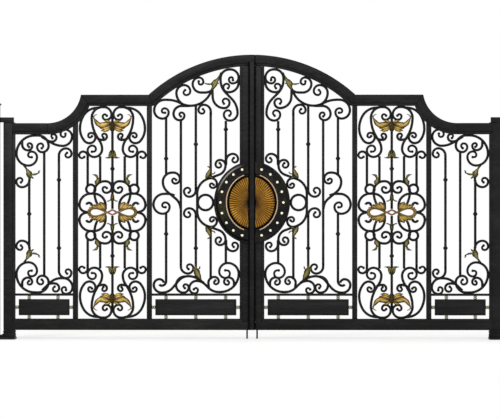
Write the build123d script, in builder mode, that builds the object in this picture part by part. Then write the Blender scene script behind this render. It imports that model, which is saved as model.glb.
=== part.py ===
"""Double-leaf steel drive gate with forged scrollwork, gilt leaves and a split medallion.

Millimetres, +Z up. The origin is under the middle of the left post, on the underside of
its ground plate. +X runs along the gate to the right and the front faces -Y. Each leaf is
set out from its pivot towards the middle of the gate, and the right leaf is the left
leaf's mirror image.
"""
import math
import os

from build123d import *

os.makedirs("parts", exist_ok=True)

# Posts and ground plates
post_size = 150.0
post_head = 106.0
post_cap_height = 14.0
post_cap_overhang = 10.0
ground_plate_height = 17.0
ground_plate_margin = 40.0
anchor_spacing = 190.0
anchor_hole_radius = 9.0

# Pivots
pivot_gap = 35.0
pin_radius = 18.0
pin_play = 0.05
pin_bite = 60.0
foot_width = 104.0
foot_depth = 84.0
foot_base_height = 33.0
foot_groove = 5.0
foot_groove_height = 6.0
foot_clearance = 5.0
bracket_clearance = 7.0
bracket_tier_height = 21.0
bracket_lower_reach = 36.0
bracket_upper_reach = 26.0
bracket_depth = 72.0

# Leaf frame
frame_depth = 60.0
step_width = 26.0
step_setback = 12.0
hinge_stile_width = 100.0
meeting_stile_width = 76.0
rail_height = 96.0
mullion_width = 44.0
outer_panel_width = 489.0
middle_panel_width = 584.0
inner_panel_width = 745.0
closing_strip_width = 51.0
meeting_gap = 6.0
strip_proud = 10.0
strip_web_depth = 40.0
strip_top_drop = 60.0

# Leaf heights: the low rail over the ground, then each rise over the part before it
leaf_bottom = 78.0
low_top = 1834.0
middle_rise = 241.0
crown_rise = 339.0
cross_bar_rise = 194.0
cross_bar_height = 20.0
cross_bar_depth = 20.0
weld_gap = 0.2

# Kick plates
kick_margin = 28.0
kick_thickness = 14.0
collar_width = 26.0
collar_depth = 22.0

# Scrollwork
bar_width = 22.0
bar_depth = 22.0
knot_width = 40.0
knot_height = 30.0
chord_rise = 4.8

# Gilt castings
gilt_thickness = 9.0

# Medallion
ring_half_width = 323.0
ring_half_height = 349.0
ring_thickness = 16.0
rim_width = 14.0
rim_proud = 6.0
ring_band = 107.0
bead_width = 14.0
bead_thickness = 22.0
dish_gap = 13.0
dish_thickness = 10.0
ray_proud = 7.0
stud_inset = 56.0
stud_radius = 11.5
stud_height = 8.0

# Drop bolts
bolt_radius = 7.0
bolt_play = 0.05
bolt_tip = 3.0
bolt_length = 690.0
bolt_handle_height = 420.0
bolt_handle_reach = 70.0
bolt_handle_radius = 6.0
guide_size = 28.0
guide_height = 30.0
guide_standoff = 5.0
low_guide_height = 95.0
high_guide_height = 600.0

# Counts and angles of the medallion
ellipse_steps = 56
ray_count = 13
stud_count = 9
stud_step = 18.0
stud_sides = 8

# Shares: of the bar's width at a curl's eye, the squares from which a curl makes a whole
# turn, the squares a bar laps back at its start, the medallion's place in the clear height
# of the leaf, and the frame's bends
eye_share = 0.7
full_curl_share = 5.5
lap_share = 0.3
medallion_share = 0.401
sweep_radius_share = 1.2
sweep_place_share = 0.9
haunch_share = 0.36

# The scrollwork is set out on a square grid. These are the squares across each panel.
outer_square_shares = 57.9
middle_square_shares = 69.4
inner_square_shares = 88.0

# Places derived from the sizes above
pivot_x = post_size / 2 + pivot_gap + hinge_stile_width / 2
outer_left = pivot_x + hinge_stile_width / 2
outer_right = outer_left + outer_panel_width
middle_left = outer_right + mullion_width
middle_right = middle_left + middle_panel_width
inner_left = middle_right + mullion_width
inner_right = inner_left + inner_panel_width
stile_end = inner_right + meeting_stile_width
gate_middle = stile_end + (closing_strip_width + meeting_gap) / 2
strip_end = stile_end + closing_strip_width
front = -frame_depth / 2
back = frame_depth / 2
step_front = front + step_setback
step_back = back - step_setback
bottom_rail_top = leaf_bottom + rail_height
cross_bar_under = bottom_rail_top + cross_bar_rise
cross_bar_top = cross_bar_under + cross_bar_height
low_under = low_top - rail_height
middle_top = low_top + middle_rise
middle_under = middle_top - rail_height
crown_top = middle_top + crown_rise
haunch_x = middle_right + haunch_share * mullion_width
half_chord = gate_middle - haunch_x
arch_radius = (half_chord**2 + crown_rise**2) / (2 * crown_rise)
arch_inner_radius = arch_radius - rail_height
arch_step_radius = arch_inner_radius + step_width
arch_z = crown_top - arch_radius
haunch_low_x = gate_middle - math.sqrt(arch_inner_radius**2 - (middle_under - arch_z) ** 2)
sweep_radius = sweep_radius_share * middle_rise
sweep_outer_radius = sweep_radius + rail_height
sweep_step_radius = sweep_outer_radius - step_width
sweep_z = low_top + sweep_radius
sweep_x = middle_left - sweep_place_share * sweep_radius
corner_x = sweep_x + math.sqrt(sweep_radius**2 - (sweep_z - middle_top) ** 2)
low_corner_x = sweep_x + math.sqrt(sweep_outer_radius**2 - (sweep_z - middle_under) ** 2)
middle_axis = (middle_left + middle_right) / 2
middle_height = (bottom_rail_top + middle_under) / 2
arch_under_z = arch_z + math.sqrt(arch_inner_radius**2 - (gate_middle - inner_right) ** 2)
medallion_height = cross_bar_top + medallion_share * (arch_under_z - cross_bar_top)
bead_half_width = ring_half_width - ring_band
bead_half_height = ring_half_height - ring_band
bracket_under = low_top + bracket_clearance
bracket_mid = bracket_under + bracket_tier_height
bracket_top = bracket_mid + bracket_tier_height
post_height = bracket_top + post_head
outer_unit = outer_panel_width / outer_square_shares
middle_unit = middle_panel_width / middle_square_shares
inner_unit = inner_panel_width / inner_square_shares
gate_mirror = Plane.YZ.offset(gate_middle)


def slab(x0, x1, z0, z1, y0, y1):
    """Adds a box with the given limits to the part being built."""
    with BuildSketch(Plane.XZ.offset(-y1)) as face:
        with Locations(((x0 + x1) / 2, (z0 + z1) / 2)):
            Rectangle(x1 - x0, z1 - z0)
    extrude(face.sketch, amount=y1 - y0)


def drum(x, y, z0, z1, radius, mode=Mode.ADD):
    """Adds or cuts an upright cylinder."""
    with BuildSketch(Plane.XY.offset(z0)) as disc:
        with Locations((x, y)):
            Circle(radius)
    extrude(disc.sketch, amount=z1 - z0, mode=mode)


def leaf_opening(inset):
    """Draws the outline of the clear opening inside a leaf's frame, drawn in by an inset."""
    low = low_under - inset
    mid = middle_under - inset
    sweep_r = sweep_outer_radius + inset
    arch_r = arch_inner_radius - inset
    left = outer_left + inset
    right = inner_right - inset
    sweep_end = sweep_x + math.sqrt(sweep_r**2 - (sweep_z - mid) ** 2)
    arch_start = gate_middle - math.sqrt(arch_r**2 - (mid - arch_z) ** 2)
    arch_top = arch_z + math.sqrt(arch_r**2 - (gate_middle - right) ** 2)
    floor = bottom_rail_top + inset
    with BuildLine() as outline:
        Line((left, floor), (left, low))
        Line((left, low), (sweep_x, low))
        RadiusArc((sweep_x, low), (sweep_end, mid), -sweep_r)
        Line((sweep_end, mid), (arch_start, mid))
        RadiusArc((arch_start, mid), (right, arch_top), arch_r)
        Line((right, arch_top), (right, floor))
        Line((right, floor), (left, floor))
    return outline


def panel_outline(x0, x1, z0):
    """Keeps only what lies in the leaf's opening between two uprights and over a bar."""
    outline = leaf_opening(weld_gap)
    make_face(outline.line, mode=Mode.INTERSECT)
    with Locations(((x0 + x1) / 2, (z0 + crown_top) / 2)):
        Rectangle(x1 - x0 - 2 * weld_gap, crown_top - z0 - 2 * weld_gap, mode=Mode.INTERSECT)


def grid(x, z, unit, across=1, down=-1):
    """A place on the setting-out grid: squares across and away from the datum edge."""
    return lambda u, v: (x + across * u * unit, z + down * v * unit)


def stations(row, unit):
    """Walks along one bar and gives its stations: place, heading and share of the width.

    A row is u, v, heading, steps, curl. A step (0, n) is a straight run and (r, a) a bend
    of radius r through a degrees. A curl (r, s, k) turns to side s by quarters, each k
    times the one before. A bend goes round in chords that stray by the chord rise.
    """
    u, v, heading, steps, curl = row
    moves = [(radius, amount, 1.0) for radius, amount in steps]
    if curl:
        radius, side, shrink = curl
        quarters = 4 if radius >= full_curl_share else 3
        for index in range(quarters):
            last = eye_share if index == quarters - 1 else 1.0
            moves.append((radius, 90 * side, last))
            radius = radius * shrink
    along = math.radians(heading)
    walk = [(u - lap_share * math.cos(along), v - lap_share * math.sin(along), heading, 1.0)]
    for radius, amount, last in moves:
        along = math.radians(heading)
        if radius == 0:
            u = u + amount * math.cos(along)
            v = v + amount * math.sin(along)
            walk.append((u, v, heading, 1.0))
            continue
        side = math.copysign(1, amount)
        chord = 2 * math.degrees(math.acos(1 - chord_rise / (radius * unit)))
        count = math.ceil(abs(amount) / chord)
        cu = u - side * radius * math.sin(along)
        cv = v + side * radius * math.cos(along)
        for index in range(1, count + 1):
            turned = heading + amount * index / count
            u = cu + side * radius * math.sin(math.radians(turned))
            v = cv - side * radius * math.cos(math.radians(turned))
            walk.append((u, v, turned, 1.0 + (last - 1.0) * index / count))
        heading = heading + amount
    return walk


def scroll(place, unit, row):
    """Adds one bent bar to the panel: its stations set out to both sides by half its width."""
    near = []
    far = []
    for u, v, heading, share in stations(row, unit):
        half = share * bar_width / (2 * unit)
        du = half * math.sin(math.radians(heading))
        dv = half * math.cos(math.radians(heading))
        near.append(place(u - du, v + dv))
        far.append(place(u + du, v - dv))
    with BuildLine() as edge:
        Polyline(*near, *reversed(far), close=True)
    make_face(edge.line)


def picket(start, end):
    """Adds a straight upright bar between two points of a panel."""
    with Locations((start[0], (start[1] + end[1]) / 2)):
        Rectangle(bar_width, abs(end[1] - start[1]))


def knot(at):
    """Adds the collar of a picket."""
    with Locations(at):
        Rectangle(knot_width, knot_height)


def ringlet(at, radius):
    """Adds a forged ring with the bar's width, in chords."""
    sides = math.ceil(math.pi / math.acos(1 - chord_rise / radius))
    with Locations(at):
        RegularPolygon(radius + bar_width / 2, sides)
        RegularPolygon(radius - bar_width / 2, sides, mode=Mode.SUBTRACT)


def petal(place, row, mode=Mode.ADD):
    """Adds one petal from its base to its tip, swelling to each side by a share of its length.

    A row is base u, base v, tip u, tip v, swell to the left, swell to the right. A swell
    below zero draws that edge over to the other side, which makes a hooked petal.
    """
    bu, bv, tu, tv, left, right = row
    du = tu - bu
    dv = tv - bv
    near = []
    far = []
    for part in petal_shares:
        swell = 4 * part * (1 - part)
        mu = bu + part * du
        mv = bv + part * dv
        near.append(place(mu - dv * swell * left, mv + du * swell * left))
        far.append(place(mu + dv * swell * right, mv - du * swell * right))
    with BuildLine() as edge:
        Polyline(place(bu, bv), *near, place(tu, tv), *reversed(far), close=True)
    make_face(edge.line, mode=mode)


def tear(place, ends, mode=Mode.ADD):
    """Adds or cuts a tear lying along a grid, from its sharp tip to its full end."""
    tip, end = ends
    above = [place(tip + (end - tip) * along, -(end - tip) * half) for along, half in tear_shares]
    below = [place(tip + (end - tip) * along, (end - tip) * half) for along, half in tear_shares]
    with BuildLine() as edge:
        Polyline(place(tip, 0), *above, *reversed(below), close=True)
    make_face(edge.line, mode=mode)


def diamond(place, halves, mode=Mode.ADD):
    """Adds or cuts a diamond about the middle of a grid."""
    wide, tall = halves
    with BuildLine() as edge:
        Polyline(place(-wide, 0), place(0, -tall), place(wide, 0), place(0, tall), close=True)
    make_face(edge.line, mode=mode)


def oval(half_width, half_height, mode=Mode.ADD):
    """Adds or cuts an oval about the medallion's middle, in even chords."""
    points = []
    for index in range(ellipse_steps):
        angle = 2 * math.pi * (index + 0.5) / ellipse_steps
        x = gate_middle + half_width * math.cos(angle)
        z = medallion_height + half_height * math.sin(angle)
        points.append((x, z))
    with BuildLine() as edge:
        Polyline(*points, close=True)
    make_face(edge.line, mode=mode)


# Rows of bars in grid squares: u, v, heading, steps, curl
outer_common_shares = (
    (19.4, 1.0, 180, ((18.3, -90),), (12.0, -1, 0.72)),
    (19.4, 1.0, 0, ((0, 3.6), (10.4, 90)), (6.4, 1, 0.8)),
    (6.8, 7.2, 90, ((0, 2.9),), (5.8, -1, 0.74)),
    (14.2, 42.4, 90, ((0, 3.0),), (7.6, 1, 0.74)),
)
outer_crest_shares = (
    (26.4, 2.4, 31, ((0, 11.5), (22.0, -31)), (9.4, -1, 0.74)),
    (33.4, 6.7, 14, ((15.0, -14),), (4.3, -1, 0.73)),
    (43.8, 25.2, -90, ((0, 4.0),), (7.2, 1, 0.76)),
)
outer_foot_shares = (
    (27.0, 3.2, 44, ((0, 11.0), (16.0, -44), (0, 2.2)), (9.2, -1, 0.72)),
    (33.4, 9.6, 8, ((0, 3.0), (12.0, -20)), (4.4, -1, 0.8)),
    (43.8, 26.8, -90, ((0, 4.2),), (7.2, 1, 0.74)),
)
outer_picket_shares = ((13.9, 45.8), (29.0, 17.0), (43.8, 24.6))
outer_knot_shares = ((13.9, 0.0), (43.8, 34.3), (43.8, -34.3))

middle_crest_shares = (
    (8.5, 1.0, 180, (), (7.5, -1, 0.72)),
    (8.5, 1.0, 0, ((0, 1.5), (11.0, 90), (36.0, 33), (0, 4.3), (15.0, -33)), (8.6, -1, 0.75)),
    (13.0, 1.6, 4, ((0, 3.6), (16.0, 56), (26.0, 30), (19.0, 40), (6.8, 50)), (6.0, 1, 0.74)),
    (15.2, 32.6, 150, ((12.0, 30),), (3.6, 1, 0.78)),
    (25.0, 54.0, -90, ((0, 3.4),), (4.7, 1, 0.82)),
)
middle_heart_shares = (
    (6.9, -31.4, 180, ((6.2, -90),), (5.7, -1, 0.73)),
    (6.9, -31.4, 0, ((0, 1.0), (10.4, 90), (28.0, 30)), None),
    (21.4, -18.9, 0, ((0, 0.4), (10.8, 90), (7.2, 75)), None),
    (21.4, -18.9, 180, ((0, 2.5), (12.0, -90), (0, 4.0)), None),
    (19.2, -4.7, -60, ((0, 4.0), (2.9, 130)), None),
)
middle_picket_shares = ((25.0, 51.6, -26.0), (12.4, 50.6, -30.4), (0.0, 9.0, -4.5))
middle_knot_share = 63.3
middle_ring_shares = (21.9, -23.4, 4.6)

inner_crest_shares = (
    (15.4, 33.2, 180, ((0, 2.6), (10.6, -90)), (8.3, -1, 0.75)),
    (15.4, 33.2, 0, ((28.0, 29), (20.0, -29), (22.0, -60), (30.0, -12)), None),
    (36.0, 39.4, 180, ((0, 6.4), (8.0, -90)), (6.3, -1, 0.74)),
    (37.5, 39.4, 180, ((13.0, 90),), (7.9, 1, 0.76)),
    (60.0, 23.8, 145, ((12.0, 35), (0, 3.7)), (8.6, 1, 0.75)),
    (59.0, 48.6, -90, ((0, 3.4),), (7.0, -1, 0.76)),
    (60.6, 21.6, 88, ((0, 8.9), (11.5, -88)), (5.4, -1, 0.76)),
    (77.6, 2.8, 0, ((0, 1.2),), (8.1, 1, 0.73)),
    (77.6, 2.8, 180, ((8.8, -90), (0, 2.0), (18.0, -45), (0, 8.4), (20.0, 45)), (7.7, 1, 0.79)),
    (86.9, 11.0, 90, ((0, 5.0), (9.6, 90), (0, 1.0)), (4.8, 1, 0.75)),
)
inner_heart_shares = (
    (45.4, 0.0, -90, ((0, 9.0), (15.5, 70), (0, 12.4), (10.0, -70)), (5.5, -1, 0.82)),
    (56.0, -24.4, 0, ((0, 3.5),), (5.6, 1, 0.75)),
    (74.4, -38.0, -90, ((0, 4.0),), (6.8, 1, 0.76)),
    (44.0, -14.0, 90, ((0, 1.6),), (6.6, 1, 0.8)),
)
inner_side_shares = (
    (20.2, -30.0, 0, ((0, 1.5),), (6.3, 1, 0.74)),
    (20.2, -30.0, 180, ((9.3, -90), (13.0, -50), (0, 11.0), (13.0, 50)), None),
    (13.7, -8.7, 180, ((0, 1.5), (10.7, -90)), (9.3, -1, 0.74)),
    (13.7, -8.7, 0, ((0, 2.0), (15.0, 28)), None),
)
inner_foot_shares = (
    (10.2, 0.8, 180, (), (8.2, -1, 0.74)),
    (10.2, 0.8, 0, ((14.0, 50), (0, 9.0), (13.0, -50), (18.0, -35), (0, 6.0)), None),
    (33.0, 17.0, 180, ((8.8, 90),), (7.4, 1, 0.7)),
    (44.8, 12.6, 180, (), (7.3, 1, 0.72)),
    (44.8, 12.6, 0, ((12.0, -45), (0, 5.0), (14.0, 45), (0, 2.0), (18.3, 90)), (10.8, 1, 0.81)),
    (82.3, 7.0, 90, ((0, 3.5),), (5.6, 1, 0.78)),
    (57.0, 6.2, 96, ((0, 3.8), (6.0, -6)), (6.0, -1, 0.74)),
    (29.0, 30.0, -90, ((0, 3.0),), (7.0, 1, 0.78)),
)
inner_upper_picket_shares = (
    (14.2, 51.0, -28.5),
    (44.0, 39.0, -13.0),
    (58.9, 46.0, -24.0),
    (74.1, 54.4, -39.0),
)
inner_lower_picket_shares = (
    (14.2, 11.4, 9.0),
    (44.0, 13.0, 16.5),
    (58.9, 24.0, 14.0),
    (74.1, 39.0, 31.0),
)
inner_long_shares = (29.0, 53.4, 28.0)
inner_ring_shares = (53.7, 0.0, 7.7)
inner_upper_knot_shares = ((14.2, 44.1), (44.0, 58.5), (74.1, 73.3))
inner_lower_knot_shares = ((14.2, 31.5), (44.0, 45.8))

# Rows of petals in grid squares: base, tip, swell to each side
petal_shares = (0.22, 0.5, 0.78)
outer_leaf_shares = (
    (8.6, 31.2, 14.6, 44.0, 0.16, 0.2),
    (11.2, 38.4, 24.8, 37.8, 0.24, -0.08),
    (12.6, 40.0, 18.6, 44.4, 0.16, 0.14),
)
palmette_shares = (
    (0.4, 19.0, 19.6, 9.6, 0.38, -0.14),
    (19.0, 13.0, 15.2, 8.4, 0.32, -0.12),
    (0.4, 18.6, 12.8, 22.4, 0.28, 0.0),
    (0.4, 20.6, 11.8, 24.8, 0.26, 0.02),
    (0.4, 18.0, 8.6, 14.6, 0.04, 0.26),
    (0.4, 17.4, 15.4, 18.6, 0.2, 0.14),
    (0.0, 13.2, 0.0, 27.2, 0.22, 0.22),
)
tulip_shares = (
    (0.4, 44.0, 8.0, 51.2, 0.44, -0.2),
    (0.0, 43.2, 0.0, 52.4, 0.18, 0.18),
)
bud_shares = (
    (0.6, -14.2, 5.6, -11.2, 0.24, -0.04),
    (0.0, -20.6, 0.0, -9.8, 0.2, 0.2),
)
sprig_shares = (
    (12.4, -36.4, 16.8, -27.4, 0.24, 0.26),
    (15.2, -31.4, 20.6, -37.4, -0.2, 0.42),
)
rosette_leaf_shares = (
    (6.4, -1.2, 13.0, -10.8, 0.26, 0.28),
    (7.6, -1.8, 16.8, -9.6, 0.2, 0.2),
    (9.0, -2.2, 19.0, -8.2, 0.16, 0.14),
    (13.0, -3.6, 22.6, -7.4, 0.16, 0.14),
)
tear_shares = ((0.24, 0.09), (0.46, 0.2), (0.66, 0.26), (0.84, 0.21), (0.97, 0.08))
rosette_frame_share = (3.8, 25.4)
rosette_hole_share = (8.0, 21.8)
rosette_heart_share = (7.2, 3.5)
rosette_eye_share = (3.5, 1.9)
inner_crest_leaf_shares = (
    (69.2, 5.6, 59.4, 24.6, 0.08, 0.12),
    (66.0, 12.0, 60.2, 20.6, 0.3, 0.2),
    (63.2, 15.6, 52.6, 16.4, -0.06, 0.24),
    (63.0, 14.6, 67.4, 17.2, 0.2, 0.1),
)
inner_heart_leaf_shares = (
    (59.4, -36.4, 53.8, -24.0, 0.12, 0.22),
    (59.2, -28.6, 63.6, -31.0, 0.3, -0.1),
    (59.0, -33.6, 55.6, -36.4, 0.24, 0.1),
    (57.0, -27.0, 62.0, -23.6, 0.18, 0.14),
)
inner_foot_leaf_shares = (
    (45.0, 31.0, 53.0, 11.0, 0.12, 0.1),
    (46.6, 22.4, 50.0, 27.6, -0.1, 0.3),
    (45.4, 26.6, 49.6, 16.0, 0.2, 0.24),
)


# Left post and its fittings
with BuildPart() as post:
    slab(-post_size / 2, post_size / 2, ground_plate_height, post_height, -post_size / 2, post_size / 2)
    cap_half = post_size / 2 + post_cap_overhang
    slab(-cap_half, cap_half, post_height, post_height + post_cap_height, -cap_half, cap_half)

with BuildPart() as ground_plate:
    plate_back = post_size / 2 + ground_plate_margin
    plate_end = pivot_x + foot_width / 2
    slab(-plate_back, plate_end, 0, ground_plate_height, -plate_back, plate_back)
    for hole_x in (-anchor_spacing / 2, anchor_spacing / 2):
        for hole_y in (-anchor_spacing / 2, anchor_spacing / 2):
            drum(hole_x, hole_y, 0, ground_plate_height, anchor_hole_radius, Mode.SUBTRACT)

with BuildPart() as pivot_foot:
    foot_base_top = ground_plate_height + foot_base_height
    foot_top = leaf_bottom - foot_clearance
    foot_back = foot_depth / 2
    foot_left = pivot_x - foot_width / 2
    foot_right = pivot_x + foot_width / 2
    slab(foot_left, foot_right, ground_plate_height, foot_base_top, -foot_back, foot_back)
    groove_top = foot_base_top + foot_groove_height
    groove_back = foot_back - foot_groove
    neck_left = foot_left + foot_groove
    neck_right = foot_right - foot_groove
    slab(neck_left, neck_right, foot_base_top, groove_top, -groove_back, groove_back)
    slab(foot_left, foot_right, groove_top, foot_top, -foot_back, foot_back)
    drum(pivot_x, 0, foot_top, leaf_bottom + pin_bite, pin_radius)

with BuildPart() as top_bracket:
    bracket_back = bracket_depth / 2
    post_face = post_size / 2
    slab(post_face, pivot_x + bracket_lower_reach, bracket_under, bracket_mid, -bracket_back, bracket_back)
    slab(post_face, pivot_x + bracket_upper_reach, bracket_mid, bracket_top, -bracket_back, bracket_back)
    drum(pivot_x, 0, low_top - pin_bite, bracket_under, pin_radius)

# Leaf frame
with BuildPart() as hinge_stile:
    stile_left = pivot_x - hinge_stile_width / 2
    stile_step = outer_left - step_width
    slab(stile_left, stile_step, leaf_bottom, low_top, front, back)
    slab(stile_step, outer_left, bottom_rail_top, low_under, step_front, step_back)
    bore_radius = pin_radius + pin_play
    drum(pivot_x, 0, leaf_bottom, leaf_bottom + pin_bite + weld_gap, bore_radius, Mode.SUBTRACT)
    drum(pivot_x, 0, low_top - pin_bite - weld_gap, low_top, bore_radius, Mode.SUBTRACT)

with BuildPart() as bottom_rail:
    rail_step = bottom_rail_top - step_width
    slab(stile_step, stile_end, leaf_bottom, rail_step, front, back)
    slab(stile_step, inner_right + step_width, rail_step, bottom_rail_top, step_front, step_back)

with BuildPart() as meeting_stile:
    with BuildSketch(Plane.XZ.offset(-back)) as stile_face:
        with BuildLine() as stile_outline:
            low_left = (inner_right + step_width, rail_step)
            low_right = (stile_end, rail_step)
            lift_left = arch_z + math.sqrt(arch_inner_radius**2 - (gate_middle - low_left[0]) ** 2) - weld_gap
            lift_right = arch_z + math.sqrt(arch_inner_radius**2 - (gate_middle - stile_end) ** 2) - weld_gap
            Line(low_left, low_right)
            Line(low_right, (stile_end, lift_right))
            RadiusArc((stile_end, lift_right), (low_left[0], lift_left), -arch_inner_radius)
            Line((low_left[0], lift_left), low_left)
        make_face()
    extrude(amount=frame_depth)
    step_top = arch_under_z - weld_gap
    slab(inner_right, inner_right + step_width, bottom_rail_top, step_top, step_front, step_back)

with BuildPart() as top_rail_low:
    low_step = low_under + step_width
    slab(stile_step, sweep_x, low_step, low_top, front, back)
    slab(stile_step, sweep_x, low_under, low_step, step_front, step_back)


def sweep_band(inner, outer, y0, y1):
    """Adds a band of the concave sweep between two radii, mitred at the middle rail."""
    slope = (low_corner_x - corner_x) / rail_height
    ends = []
    for radius in (inner, outer):
        # the mitre line x = a - b * dz meets the circle about the sweep's centre
        a = corner_x - slope * (sweep_z - middle_top) - sweep_x
        b = slope
        qa = 1 + b * b
        qb = 2 * a * b
        qc = a * a - radius * radius
        drop = (-qb + math.sqrt(qb * qb - 4 * qa * qc)) / (2 * qa)
        ends.append((sweep_x + a + b * drop, sweep_z - drop))
    with BuildSketch(Plane.XZ.offset(-y1)) as band:
        with BuildLine() as band_line:
            RadiusArc((sweep_x, sweep_z - inner), ends[0], -inner)
            Line(ends[0], ends[1])
            RadiusArc(ends[1], (sweep_x, sweep_z - outer), outer)
            Line((sweep_x, sweep_z - outer), (sweep_x, sweep_z - inner))
        make_face(band_line.line)
    extrude(band.sketch, amount=y1 - y0)


with BuildPart() as top_rail_sweep:
    sweep_band(sweep_radius, sweep_step_radius, front, back)
    sweep_band(sweep_step_radius, sweep_outer_radius, step_front, step_back)


def mitred_bar(x0, x1, x2, x3, z0, z1, y0, y1):
    """Adds a level bar from x0..x1 at its top to x2..x3 at its underside."""
    with BuildSketch(Plane.XZ.offset(-y1)) as bar:
        with BuildLine() as bar_line:
            Polyline((x0, z1), (x1, z1), (x3, z0), (x2, z0), close=True)
        make_face(bar_line.line)
    extrude(bar.sketch, amount=y1 - y0)


with BuildPart() as top_rail_middle:
    middle_step = middle_under + step_width
    step_share = step_width / rail_height
    left_step_x = low_corner_x + (corner_x - low_corner_x) * step_share
    right_step_x = haunch_low_x + (haunch_x - haunch_low_x) * step_share
    mitred_bar(corner_x, haunch_x, left_step_x, right_step_x, middle_step, middle_top, front, back)
    mitred_bar(
        left_step_x,
        right_step_x,
        low_corner_x,
        haunch_low_x,
        middle_under,
        middle_step,
        step_front,
        step_back,
    )


def arch_band(inner, outer, end_x, y0, y1):
    """Adds a band of the arch between two radii, from the haunch mitre to an upright end."""
    starts = []
    slope = (haunch_low_x - haunch_x) / rail_height
    for radius in (inner, outer):
        # the haunch mitre x = a - b * dz meets the circle about the arch's centre
        a = haunch_x + slope * (middle_top - arch_z) - gate_middle
        b = slope
        qa = 1 + b * b
        qb = -2 * a * b
        qc = a * a - radius * radius
        rise = (-qb + math.sqrt(qb * qb - 4 * qa * qc)) / (2 * qa)
        starts.append((gate_middle + a - b * rise, arch_z + rise))
    inner_end = (end_x, arch_z + math.sqrt(inner**2 - (gate_middle - end_x) ** 2))
    outer_end = (end_x, arch_z + math.sqrt(outer**2 - (gate_middle - end_x) ** 2))
    with BuildSketch(Plane.XZ.offset(-y1)) as band:
        with BuildLine() as band_line:
            RadiusArc(starts[0], inner_end, inner)
            Line(inner_end, outer_end)
            RadiusArc(outer_end, starts[1], -outer)
            Line(starts[1], starts[0])
        make_face(band_line.line)
    extrude(band.sketch, amount=y1 - y0)


with BuildPart() as top_rail_arch:
    arch_band(arch_step_radius, arch_radius, strip_end, front, back)
    arch_band(arch_inner_radius, arch_step_radius, strip_end, step_front, step_back)

with BuildPart() as right_top_rail_arch:
    mirror(top_rail_arch.part, about=gate_mirror)
    split(bisect_by=Plane.YZ.offset(strip_end + meeting_gap), keep=Keep.TOP)

with BuildPart() as closing_strip:
    strip_top = crown_top - strip_top_drop
    web_top = arch_z + math.sqrt(arch_inner_radius**2 - closing_strip_width**2) - weld_gap
    slab(stile_end, strip_end, leaf_bottom, strip_top, front - strip_proud, front)
    slab(stile_end, strip_end, leaf_bottom, web_top, front, front + strip_web_depth)

with BuildPart() as mullions:
    with BuildSketch(Plane.XZ.offset(-mullion_width / 2)) as mullion_face:
        for mullion_x in (outer_right, middle_right):
            with Locations((mullion_x + mullion_width / 2, (bottom_rail_top + crown_top) / 2)):
                Rectangle(mullion_width, crown_top - bottom_rail_top)
        opening = leaf_opening(weld_gap)
        make_face(opening.line, mode=Mode.INTERSECT)
    extrude(mullion_face.sketch, amount=mullion_width)

with BuildPart() as cross_bars:
    for bar_left, bar_right in ((outer_left, outer_right), (inner_left, inner_right)):
        bar_half = cross_bar_depth / 2
        slab(bar_left, bar_right, cross_bar_under, cross_bar_top, -bar_half, bar_half)

with BuildPart() as kick_plates:
    kick_low = bottom_rail_top + kick_margin
    kick_high = cross_bar_under - kick_margin
    kick_half = kick_thickness / 2
    for bar_left, bar_right in ((outer_left, outer_right), (inner_left, inner_right)):
        slab(bar_left + kick_margin, bar_right - kick_margin, kick_low, kick_high, -kick_half, kick_half)

outer_collar_shares = (0.24, 0.74)
inner_collar_shares = (0.16, 0.5, 0.84)
with BuildPart() as kick_collars:
    collar_half = collar_depth / 2
    kick_middle = (kick_low + kick_high) / 2
    for bar_left, bar_right, shares in (
        (outer_left, outer_right, outer_collar_shares),
        (inner_left, inner_right, inner_collar_shares),
    ):
        for share in shares:
            at = bar_left + share * (bar_right - bar_left)
            collar_left = at - collar_width / 2
            collar_right = at + collar_width / 2
            slab(collar_left, collar_right, bottom_rail_top, kick_low, -collar_half, collar_half)
            slab(collar_left, collar_right, kick_high, cross_bar_under, -collar_half, collar_half)
        side_low = kick_middle - collar_width / 2
        side_high = kick_middle + collar_width / 2
        slab(bar_left, bar_left + kick_margin, side_low, side_high, -collar_half, collar_half)
        slab(bar_right - kick_margin, bar_right, side_low, side_high, -collar_half, collar_half)

# Scrollwork panels
with BuildPart() as outer_scrollwork:
    with BuildSketch(Plane.XZ) as outer_bars:
        crest = grid(outer_left, low_under, outer_unit)
        foot = grid(outer_left, cross_bar_top, outer_unit, down=1)
        belt = grid(outer_left, (low_under + cross_bar_top) / 2, outer_unit)
        for row in outer_common_shares + outer_crest_shares:
            scroll(crest, outer_unit, row)
        for row in outer_common_shares + outer_foot_shares:
            scroll(foot, outer_unit, row)
        for u, v in outer_picket_shares:
            picket(crest(u, v), foot(u, v))
        for u, v in outer_knot_shares:
            knot(belt(u, v))
        panel_outline(outer_left, outer_right, cross_bar_top)
    extrude(outer_bars.sketch, amount=bar_depth / 2, both=True)

with BuildPart() as middle_scrollwork:
    with BuildSketch(Plane.XZ) as middle_bars:
        for across in (-1, 1):
            for edge, away in ((middle_under, -1), (bottom_rail_top, 1)):
                crest = grid(middle_axis, edge, middle_unit, across, away)
                heart = grid(middle_axis, middle_height, middle_unit, across, away)
                for row in middle_crest_shares:
                    scroll(crest, middle_unit, row)
                for row in middle_heart_shares:
                    scroll(heart, middle_unit, row)
                for u, v, w in middle_picket_shares:
                    if u > 0 or across > 0:
                        picket(crest(u, v), heart(u, w))
                ringlet(heart(*middle_ring_shares[:2]), middle_ring_shares[2] * middle_unit)
                if across > 0:
                    knot(crest(0, middle_knot_share))
        panel_outline(middle_left, middle_right, bottom_rail_top)
    extrude(middle_bars.sketch, amount=bar_depth / 2, both=True)

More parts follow.
